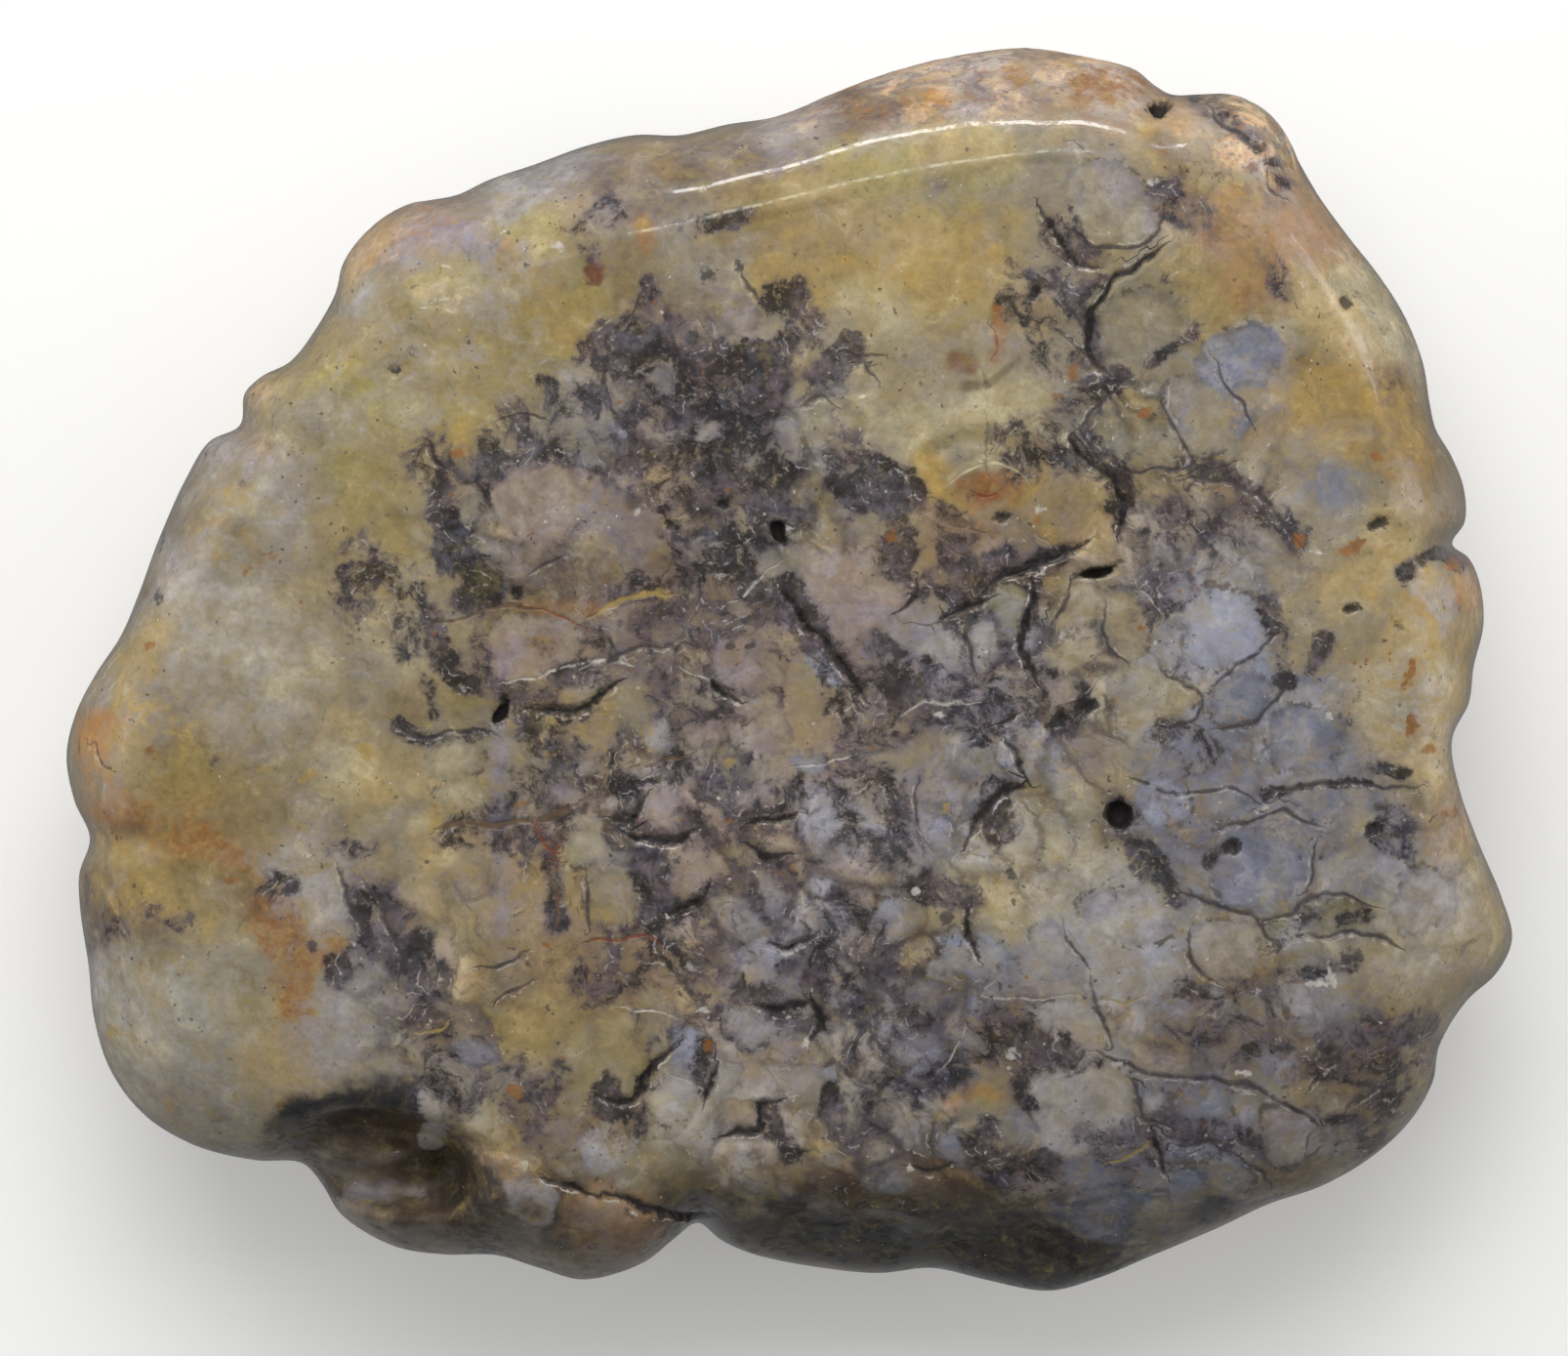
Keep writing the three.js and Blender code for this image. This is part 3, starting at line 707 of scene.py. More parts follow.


# Painted shade: the BLACK, UMBER and dark OLIVE ground strokes along the bottom edge, below about y 1110 (the
# keel slope, the bottom cleft, the lumps and the chin hollow), darken where the stone turns away from the
# light and into its hollows. They lie over the stone's own darker colour there.
STAINS: tuple[Stain, ...] = (
    # Painted light: the PALE_OCHRE, PALE_SAND, PALE_LILAC and PEACH ground strokes along the right rim (x
    # beyond about 1400), the left rim (x below about 110) and the crown partly lighten rims that the lamps
    # leave darker. They lie over the stone's own paler colour there. The PALE_BLUE streak 610,160 560,185
    # 520,215 is a painted highlight along a ridge of the top slope.
    *stains(Layer.GROUND, """
KHAKI 0.85 = 120: 470,380; 90: 330,470 390,540; 90: 560,300; 70: 600,1060
MAUVE 0.8 = 70: 440,240 520,200 640,170; 60: 760,160 860,150
TERRACOTTA 0.6 = 45: 860,110 960,85 1100,80 1180,110; 60: 1340,240
OCHRE 0.85 = 75: 820,250 900,270 980,280; 70: 1250,280; 60: 1400,420
LEMON 0.6 = 40: 540,240; 50: 580,330; 40: 1000,170; 50: 880,190 950,180
LILAC 0.85 = 90: 230,620 240,680; 55: 230,480 290,520; 60: 210,560
SAND 0.8 = 90: 360,720 360,780; 70: 330,620; 80: 460,900 500,960
PALE_GREY 0.9 = 70: 180,1020 260,1050; 70: 200,1100; 40: 410,690 430,730
LILAC 0.7 = 55: 340,920; 45: 285,870; 60: 330,1060
CREAM 0.9 = 65: 870,410 990,420; 60: 1170,710; 65: 1070,880 1180,940
TAN 0.8 = 70: 960,560 1080,540; 70: 560,930 620,1000; 60: 700,1000; 50: 1210,570
PINK 0.85 = 60: 560,520 640,560 660,620; 60: 560,660; 70: 880,610; 55: 850,800
PINK 0.75 = 60: 770,680; 50: 700,830 700,900; 45: 830,750; 60: 780,1090
LAVENDER 0.8 = 40: 850,850 860,930; 45: 800,970 780,1040; 60: 970,680; 50: 960,820
LILAC 0.8 = 50: 1060,680; 60: 1080,980 1150,1000; 50: 1240,640; 50: 780,1190
BLUE 0.85 = 34: 1270,390; 80: 1330,760; 90: 1300,880; 60: 1270,720; 55: 1440,920
BLUE 0.8 = 60: 950,1050; 60: 1070,1140; 50: 1000,990; 30: 1370,500
SLATE 0.85 = 70: 1220,1190 1150,1240; 70: 1250,1120; 60: 880,1190 950,1200
BROWN 0.7 = 60: 1220,820; 80: 1240,1040; 60: 1390,1090; 60: 1050,1060; 50: 1120,1190
MOSS 0.75 = 55: 1170,340; 60: 1150,430 1200,460; 60: 1260,960; 60: 1420,1110; 60: 1330,930
MOSS 0.7 = 50: 310,430; 60: 500,430 560,440; 50: 470,1250; 60: 940,1270; 60: 1440,480
GOLD 0.6 = 55: 1460,680; 45: 1400,740; 30: 470,430; 40: 1380,430 1320,430
SAND 0.7 = 60: 1480,800 1480,880; 70: 1470,960 1450,1020; 60: 1400,620 1420,580
OLIVE 0.75 = 45: 220,770; 60: 700,1230; 80: 860,1260 1000,1290; 50: 160,870
RUST 0.2 = 24: 120,830 200,850 246,900; 22: 290,950 306,1010 300,1050; 40: 640,1260
RUST 0.7 = 6: 150,524 190,530 236,536; 6: 236,538 262,556 270,580; 9: 250,446 276,462
RUST 0.8 = 10: 240,884 250,912 272,926; 8: 100,740 104,760; 8: 286,1000 296,1030; 8: 112,834
ORANGE 0.85 = 26: 106,750; 12: 376,265; 24: 1500,610
UMBER 0.75 = 40: 110,930 160,945; 60: 400,1170; 60: 960,1240; 45: 1090,1290 900,1230
PLUM 0.8 = 60: 700,380 760,420; 45: 400,930 430,1000; 40: 930,700; 40: 1050,1050
PALE_CREAM 0.6 = 18: 1010,476; 30: 900,400; 40: 430,670; 24: 1170,690; 34: 1150,950
PALE_BLUE 0.6 = 20: 235,475; 26: 265,520; 30: 1130,920; 24: 1260,640; 26: 1345,760; 18: 960,980
PALE_BLUE 0.5 = 24: 370,305; 22: 430,265; 16: 610,160 560,185 520,215; 20: 990,105; 22: 1290,165
LAVENDER 0.8 = 12: 595,480 605,520 580,560 550,590; 14: 560,640 560,690; 20: 1150,215; 22: 436,240 470,248
  500,266
LAVENDER 0.7 = 9: 515,740 514,820 517,900 518,950; 24: 1470,630; 20: 440,1150; 24: 690,1120
GOLD 0.8 = 14: 965,500 945,470; 12: 1070,550; 12: 260,545; 10: 475,410 474,460; 20: 1000,260; 18: 445,840; 12:
  465,865 440,880; 14: 620,740; 14: 600,920; 16: 1070,920 1100,900
LEMON 0.8 = 14: 555,730 590,745; 16: 480,720; 12: 1090,670; 14: 870,1090; 12: 835,1175; 18: 1010,1120
ORANGE 0.7 = 8: 660,235 665,256; 12: 526,262; 7: 1018,336 1022,356; 8: 460,540; 7: 1008,490
BROWN 0.7 = 12: 548,515; 14: 1115,265; 14: 205,528 180,535; 12: 245,538; 20: 690,740 720,750; 16: 640,1010
PLUM 0.8 = 16: 690,575 650,585; 20: 620,185; 12: 955,160 960,195; 22: 955,745 930,700; 18: 1060,1110; 18:
  1080,1185 1150,1165 1190,1150; 20: 1250,520; 12: 568,880 570,950; 24: 1420,395
PEACH 0.6 = 18: 1040,65; 24: 1150,80; 16: 1255,165; 20: 1215,130; 14: 270,390; 14: 690,180; 18: 640,1240
RED 0.6 = 8: 390,230; 10: 1015,508; 10: 1235,240; 8: 150,605; 10: 1490,570; 8: 248,415; 8: 108,670
BLACK 0.75 = 30: 860,1240; 40: 1105,1290; 30: 320,1150 400,1130 430,1150; 14: 600,1215 700,1245; 16: 345,1215
PALE_LILAC 0.75 = 26: 1095,910 1130,920; 34: 1140,950 1165,1000; 26: 1080,960; 20: 980,100; 22: 1285,345
  1290,400; 22: 1235,640 1250,670; 22: 1270,704; 24: 1344,760; 18: 962,976; 26: 860,840 875,850; 22: 1465,610
  1462,640; 22: 700,1118; 14: 1160,1046
PALE_SAND 0.7 = 60: 230,640 260,690; 34: 200,690 270,720; 24: 272,510 280,540; 20: 232,470; 40: 134,1010
  160,1064
PALE_CREAM 0.7 = 40: 870,408 960,414 1036,420; 30: 880,312 920,340 930,380; 22: 1150,700 1180,715; 34:
  1010,900 1050,890 1090,880; 26: 1030,940 1070,920; 30: 1380,280 1420,340; 18: 1320,330; 14: 438,362 470,376;
  14: 372,416 440,424; 22: 386,636 414,668 432,696; 12: 408,588 430,586; 20: 300,700 330,690; 16: 290,786; 24:
  336,780 362,790; 12: 436,840; 12: 462,872; 18: 1398,700 1404,750; 26: 1470,730; 22: 1490,900 1480,940; 16:
  1110,830
PALE_OCHRE 0.75 = 34: 820,220 900,240 930,250; 22: 566,300 578,336; 18: 540,270; 22: 1240,300; 22: 440,876
  440,940 470,1000; 30: 400,790 470,800; 18: 700,970 706,1020; 20: 1398,592 1366,612; 26: 960,160 1010,160;
  20: 520,1046 566,1036; 16: 370,262 356,300; 18: 390,238; 22: 250,405 290,388; 20: 1500,640; 22: 1520,950;
  18: 130,760
LILAC 0.6 = 26: 760,1060 790,1100; 22: 780,960 790,1000; 26: 320,900 340,930; 20: 600,1160 620,1170; 22:
  980,760; 26: 930,1064; 24: 1120,1100 1130,1140; 18: 1080,1040; 26: 1300,890; 22: 1420,990; 18: 1330,1020;
  20: 1240,960; 20: 680,800 700,830; 20: 700,890; 20: 540,500 560,560 610,540; 16: 600,696; 20: 1320,1150; 26:
  1060,66 1130,84; 30: 520,195 600,165
BLACK 0.85 = 26: 320,1156 360,1130 410,1128; 20: 430,1150 440,1190; 24: 460,1200 470,1240; 30: 500,1230
  520,1262; 18: 566,1210 570,1262; 22: 680,1246 740,1250 800,1252; 40: 850,1236 940,1240 1010,1262; 34:
  1050,1280 1110,1290; 22: 930,1200 970,1206; 16: 1130,1180 1144,1176; 16: 1180,1196 1190,1214; 20: 1212,1240
  1240,1226; 16: 1262,1156
UMBER 0.7 = 20: 350,1180; 24: 430,1256; 26: 760,1225 830,1220; 26: 860,1266 900,1262; 30: 1010,1190 1060,1196;
  30: 1150,1150 1220,1140; 24: 1290,1196 1340,1200; 24: 1370,1160 1396,1130; 24: 1350,1090 1410,1080; 18:
  1460,1060; 18: 244,900 262,924
OLIVE 0.6 = 9: 950,462 975,450 1010,446 1050,454 1080,470; 8: 870,420 880,436 872,452
PALE_CREAM 0.9 = 7: 934,456 960,434 1000,425 1050,430 1084,450; 5: 974,492 990,478 1010,474 1034,479 1048,491
GOLD 0.8 = 10: 948,478 958,504 986,520; 9: 1040,514 1062,494 1064,476; 8: 842,432 850,438
RUST 0.85 = 7: 1018,330 1024,352 1016,370; 8: 976,372 992,378; 20: 994,500 1026,498
RED 0.7 = 8: 1000,510 1016,512
BROWN 0.8 = 5: 985,398 1010,396 1030,380 1046,364; 6: 962,528 980,540 1008,546; 7: 1330,374
PALE_BLUE 0.6 = 60: 1220,610 1240,690; 60: 1210,800 1300,880; 50: 1100,960 1180,990; 40: 1040,680; 40:
  990,830; 50: 1120,1120; 40: 1250,1140; 40: 1340,770; 34: 1420,870; 30: 1000,980; 30: 860,850; 30: 790,960
BLUE 0.7 = 40: 1120,1210 1180,1250; 24: 1350,500; 40: 1300,740; 40: 940,1060
OCHRE 0.6 = 20: 140,690 170,640; 30: 150,790 200,830; 30: 230,870; 34: 150,480 170,420; 26: 280,1030; 30:
  500,1060 640,1050; 26: 300,1090; 26: 1480,860; 26: 1500,930
KHAKI 0.5 = 60: 330,420 420,400 500,360; 50: 420,330 540,340; 40: 360,500 380,560; 30: 560,410; 30: 330,350;
  30: 1300,300
LEMON 0.6 = 26: 340,400 400,420; 22: 560,330 590,310; 20: 470,420; 24: 440,300 480,290; 20: 350,470
BROWN 0.35 = 50: 520,590 610,600 680,580; 40: 640,540; 30: 520,650 560,690
BLUE 0.55 = 70: 1220,760 1330,780; 70: 1250,880 1350,880; 50: 1190,680; 60: 1120,1210 1230,1200; 60: 980,1060;
  50: 1080,760; 50: 1200,1130; 40: 1360,1030; 40: 930,1180; 40: 1000,820
PALE_OCHRE 0.8 = 34: 1440,670 1420,730; 30: 1470,700 1480,790 1496,860; 16: 1510,960; 20: 1410,560 1440,520;
  30: 1330,290 1380,350; 26: 820,250 880,230; 24: 640,1050
PEACH 0.6 = 24: 1020,66 1100,70; 20: 880,92 940,80; 20: 1200,130; 16: 90,700; 14: 350,290 376,250; 16:
  262,400; 16: 1500,600; 16: 1496,840; 20: 640,1250
PALE_LILAC 0.6 = 18: 1462,630; 22: 1460,910; 16: 990,94; 20: 520,196; 20: 100,1000; 24: 100,690
BLACK 0.6 = 20: 340,1216 380,1236 430,1240 480,1230; 24: 320,1150 380,1136 430,1140; 40: 700,1250 800,1256
  900,1262; 34: 1000,1284 1090,1290; 24: 470,1190 500,1240; 20: 570,1230; 40: 860,1236; 30: 1010,1230
UMBER 0.6 = 50: 760,1230 880,1230 1000,1250; 30: 960,1200 1050,1200; 24: 420,1266 480,1276; 40: 1180,1260
UMBER 0.5 = 30: 520,590 600,600 650,590; 24: 530,650 570,680; 20: 540,530
OCHRE 0.6 = 30: 560,320 620,330; 30: 1180,160 1240,200; 26: 1230,290 1280,300; 20: 990,240
GOLD 0.6 = 22: 560,300 590,330 600,350
MOSS 0.5 = 12: 350,1168; 12: 400,1180; 10: 360,1212 430,1206; 18: 440,1262; 24: 900,1262; 14: 660,1222
BLACK 0.85 = 34: 780,1262 860,1262 960,1276 1080,1296 1120,1290; 30: 860,1236 940,1240; 20: 500,1220 520,1260
  500,1272; 20: 690,1250 720,1262; 16: 310,1150 350,1134 420,1130; 18: 460,1190 490,1220; 24: 1240,1240
BROWN 0.45 = 40: 640,180 760,178; 60: 560,1150; 30: 700,330 640,270; 40: 860,390 960,370; 50: 1090,1130
UMBER 0.45 = 50: 540,600 620,590; 30: 700,190; 30: 740,1200
OCHRE 0.6 = 40: 150,890 210,925; 40: 210,800 250,830; 20: 90,690 110,660; 24: 1440,480; 24: 660,1070; 30:
  280,1070
PALE_SAND 0.6 = 34: 1450,690 1420,720; 34: 1460,900 1440,930; 30: 750,1130 700,1160; 34: 860,1030 880,1070
PALE_LILAC 0.55 = 40: 980,70 1060,66; 30: 1140,86; 30: 820,910 860,940; 34: 1310,770 1330,740; 30: 1270,900
  1330,890; 30: 1130,980; 24: 1440,910; 40: 1200,690
PLUM 0.55 = 24: 850,112 900,98 940,92; 20: 760,170 820,160
PALE_LILAC 0.4 = 24: 980,80 1060,68 1130,86
TERRACOTTA 0.8 = 30: 600,1240 650,1250; 20: 640,1276
PEACH 0.7 = 14: 612,1226 642,1236
BROWN 0.5 = 40: 1400,420 1440,440; 24: 600,600 690,575; 40: 640,640 700,640; 24: 430,720
MAUVE 0.6 = 34: 240,450 210,490 180,540
SLATE 0.4 = 50: 1200,850 1330,840; 30: 1110,840
RUST 0.7 = 8: 540,624 600,624 650,634; 8: 650,622 690,596
PLUM 0.6 = 20: 850,124 880,110 930,96; 16: 1000,92 1060,100
PALE_LILAC 0.5 = 24: 800,140 840,120; 20: 900,84 960,74; 26: 1450,720 1470,760
UMBER 0.5 = 40: 320,1170 400,1190
PALE_SAND 0.5 = 30: 780,1160 740,1130
PALE_BLUE 0.4 = 30: 900,1060 930,1080
LAVENDER 0.5 = 40: 960,680 1010,720; 30: 1010,640; 36: 900,940 880,980
LILAC 0.4 = 40: 330,1070 360,1040
MOSS 0.5 = 40: 600,1070 670,1060
LILAC 0.5 = 30: 1480,920 1500,960
UMBER 0.8 = 20: 330,1158 420,1150
BLACK 0.9 = 14: 296,1152 320,1134 360,1126 410,1122 446,1120; 14: 470,1180 500,1206
BLACK 0.95 = 44: 770,1252 880,1262 980,1284 1060,1296
BROWN 0.35 = 50: 1230,420 1330,420; 60: 190,740 280,800; 50: 410,700 520,700; 50: 560,640
UMBER 0.6 = 40: 440,1262 540,1266 660,1276 780,1290; 30: 560,1215; 24: 850,1222 900,1226
PLUM 0.4 = 40: 1000,1040 960,1010
PALE_SAND 0.6 = 40: 1080,900 1130,940; 34: 1440,700; 40: 1450,925 1430,960; 30: 1450,520
TAN 0.6 = 40: 1440,470 1460,510; 30: 1070,60
PLUM 0.55 = 14: 1228,106 1262,126 1296,154; 12: 1318,186 1304,208; 12: 1190,150 1206,176
TERRACOTTA 0.5 = 32: 1250,240 1290,280; 24: 1330,236 1350,262; 20: 1200,214
BROWN 0.4 = 24: 880,122 940,104 970,96; 40: 780,230 850,246; 40: 670,650 700,640; 30: 1450,426 1474,466; 40:
  206,846 250,876
OLIVE 0.35 = 50: 560,320 600,350; 40: 440,750 480,730
UMBER 0.45 = 40: 440,1180 560,1206; 40: 890,1176 960,1196
PALE_BLUE 0.5 = 36: 1010,650 1060,690; 30: 1000,744 1060,766; 24: 1180,1230 1210,1200
ORANGE 0.55 = 9: 970,1128 1002,1114 1022,1122
MOSS 0.45 = 50: 220,970 270,1000; 44: 210,520 250,550; 30: 330,430
LAVENDER 0.45 = 50: 800,960 840,1010; 40: 900,640 930,690; 40: 1010,720; 40: 650,540
PALE_LILAC 0.4 = 40: 780,1180 800,1150; 30: 1240,150
PLUM 0.4 = 40: 670,640 700,620; 40: 700,480
"""),
    *stains(Layer.BLOOM, """
BROWN 0.6 = 24: 540,520; 24: 600,600 650,590 690,580; 20: 560,660; 30: 540,1140 640,1140; 30: 540,1226; 30:
  860,100
OLIVE 0.5 = 50: 200,790 260,800
OCHRE 0.55 = 50: 160,900 210,930; 30: 70,700 90,650
LILAC 0.5 = 90: 430,370; 60: 330,450; 50: 520,300; 60: 600,400
OLIVE 0.35 = 90: 1240,280 1380,330; 60: 1450,520
RUST 0.8 = 30: 110,820 200,850 240,900; 24: 262,916 292,940 304,1000 300,1050; 16: 320,984 346,966; 12:
  106,742 100,764; 12: 1040,80; 20: 1110,90 1160,84
OLIVE 0.6 = 26: 216,770 250,790; 24: 200,905 240,915; 20: 170,960 130,985; 16: 250,990 270,1060
RUST 0.45 = 40: 1380,400 1430,440; 30: 1240,240 1280,290
ORANGE 0.6 = 30: 108,750 112,800; 20: 960,105
GOLD 0.5 = 50: 1300,430 1420,430; 60: 1440,620 1460,720; 50: 820,270 960,290; 40: 460,860
OCHRE 0.5 = 40: 240,540; 60: 130,690 170,760; 50: 560,740 620,760; 50: 560,900 600,960
TERRACOTTA 0.5 = 50: 1340,230 1280,240; 50: 420,220; 40: 1480,840; 40: 980,540
LILAC 0.5 = 60: 900,830; 60: 1080,1000; 60: 640,600; 50: 1240,660; 60: 1340,850
BROWN 0.5 = 80: 1240,1040 1380,1080; 50: 1220,210; 60: 1200,840; 50: 540,1010 640,1010
GOLD 0.3 = 50: 180,1110 270,1080; 40: 1000,1120; 40: 1060,890; 50: 760,1140
"""),
    *stains(Layer.MOSAIC, """
CHARCOAL 0.8 = 90: 700,430 800,500; 90: 620,820 760,900; 90: 900,960 900,1150; 70: 1040,620 1120,700
CHARCOAL 0.55 = 80: 1060,780 1000,850; 80: 1180,560 1250,520; 70: 440,960 440,1060; 60: 1150,430; 60: 760,1150
  860,1130; 60: 480,540; 50: 720,780
CHARCOAL 0.32 = 80: 1250,1150 1120,1080; 90: 1300,820 1420,860; 80: 1300,1000
CHARCOAL 0.05 = 120: 230,620 250,720; 100: 200,1060; 90: 900,300; 80: 400,400
"""),
    *stains(Layer.SOOT, """
CHARCOAL 0.95 = 40: 640,380 740,380; 30: 740,450 770,530; 24: 690,470; 24: 612,362 650,380 720,380 790,368;
  22: 458,532 472,570 500,602 486,616; 15: 450,656 470,684 486,700; 16: 806,600 830,640; 18: 850,676 876,706;
  20: 706,562 722,592 738,614; 15: 704,650 706,682; 15: 1104,330 1112,364; 13: 1146,386 1126,402; 12: 1142,494
  1144,532; 22: 862,486 882,516; 20: 976,606 992,602 980,632; 17: 832,652 852,684 870,702; 20: 886,706
  908,716; 15: 1080,744 1102,720; 20: 888,950 886,1000 890,1050 872,1084; 13: 642,834 630,842; 16: 664,880
  670,912 690,938; 18: 900,1110 936,1118; 18: 904,1146 880,1164; 12: 556,768 568,780; 14: 586,806 638,800; 14:
  1168,872 1180,888; 9: 1256,866 1236,880
CHARCOAL 0.72 = 46: 640,400 700,420 760,440; 34: 660,470 720,500 740,540; 30: 790,480 800,530; 34: 730,590
  770,620; 26: 810,320 826,344; 17: 846,384 870,356; 28: 870,470 910,510 920,560; 14: 914,590 940,600; 22:
  1080,240 1098,268 1120,282; 22: 1092,296 1100,330; 12: 1176,372 1210,346; 20: 1084,434 1104,464 1132,482;
  16: 1218,494 1262,502 1302,532 1326,552; 14: 950,590 1000,580 1080,574; 10: 1054,604 1048,636; 18: 1170,626
  1206,606; 13: 1290,620 1306,660 1312,690; 8: 1352,654 1338,682; 8: 1430,586 1470,568 1490,580; 24: 900,680
  944,690; 12: 920,744 914,782 920,842; 26: 950,716 990,740; 13: 1142,834 1170,880 1202,916; 5: 1290,812
  1340,804 1400,800; 8: 1404,786 1430,792; 9: 1412,840 1404,860 1430,870; 7: 1316,940 1396,936; 10: 1310,1000
  1380,986; 19: 1012,810 1020,842; 16: 940,910 990,922; 30: 1030,1060 1080,1088 1060,1108; 32: 1352,1092
  1400,1072 1404,1108; 24: 390,932 420,962 440,1000; 18: 366,978 346,990; 24: 442,1046 470,1090; 20: 624,1120
  644,1136; 10: 722,1050 720,1120; 17: 736,1042 762,1010 800,1026; 14: 786,1136 810,1180; 14: 714,858 744,852;
  14: 716,926 726,910; 10: 766,830 790,828; 10: 796,880 814,878; 10: 568,874 572,946; 26: 560,740 540,700; 18:
  700,780 726,794; 12: 850,1112 846,1134; 22: 1010,1154 1012,1186 1062,1190; 20: 1110,1150 1140,1180; 9:
  1190,1150 1260,1158 1290,1170; 9: 1150,1150 1190,1186; 20: 1372,1150 1390,1180; 30: 450,480 470,510; 18:
  560,414 522,436; 9: 416,744 440,756 500,750
CHARCOAL 0.5 = 22: 620,226 602,240; 11: 700,236 760,226; 11: 666,296 656,326; 11: 710,320 690,346; 20:
  1192,206 1216,226; 12: 1290,262 1310,296; 20: 966,532 980,556; 11: 1226,108 1256,124 1286,148; 9: 1300,168
  1314,192; 10: 344,870 384,864; 10: 96,964 128,950; 12: 156,930 192,940; 20: 284,900 300,906; 22: 620,960
  610,1010 650,1010; 24: 460,850 540,846; 22: 1456,1054 1470,1090; 50: 690,620 690,670; 40: 660,430; 34:
  1060,300 1080,360; 40: 880,720 900,860; 50: 760,690 720,720; 50: 600,790 560,820; 60: 740,820 780,880; 60:
  700,1000; 60: 860,980 930,1080; 40: 1230,1040 1270,1050; 50: 1180,560 1230,540; 50: 1050,720 1000,690; 26:
  1200,756 1230,780; 24: 1420,850; 20: 1150,1170 1250,1160; 40: 500,480 560,450; 40: 470,1080 540,1120; 40:
  380,600 420,640; 40: 1050,470 1110,440; 16: 510,700 560,690 620,690; 14: 500,636 490,680; 14: 640,690
  690,676; 9: 440,700 450,730; 14: 640,606 690,600; 12: 600,650 640,670; 20: 860,1150 900,1130
"""),
)
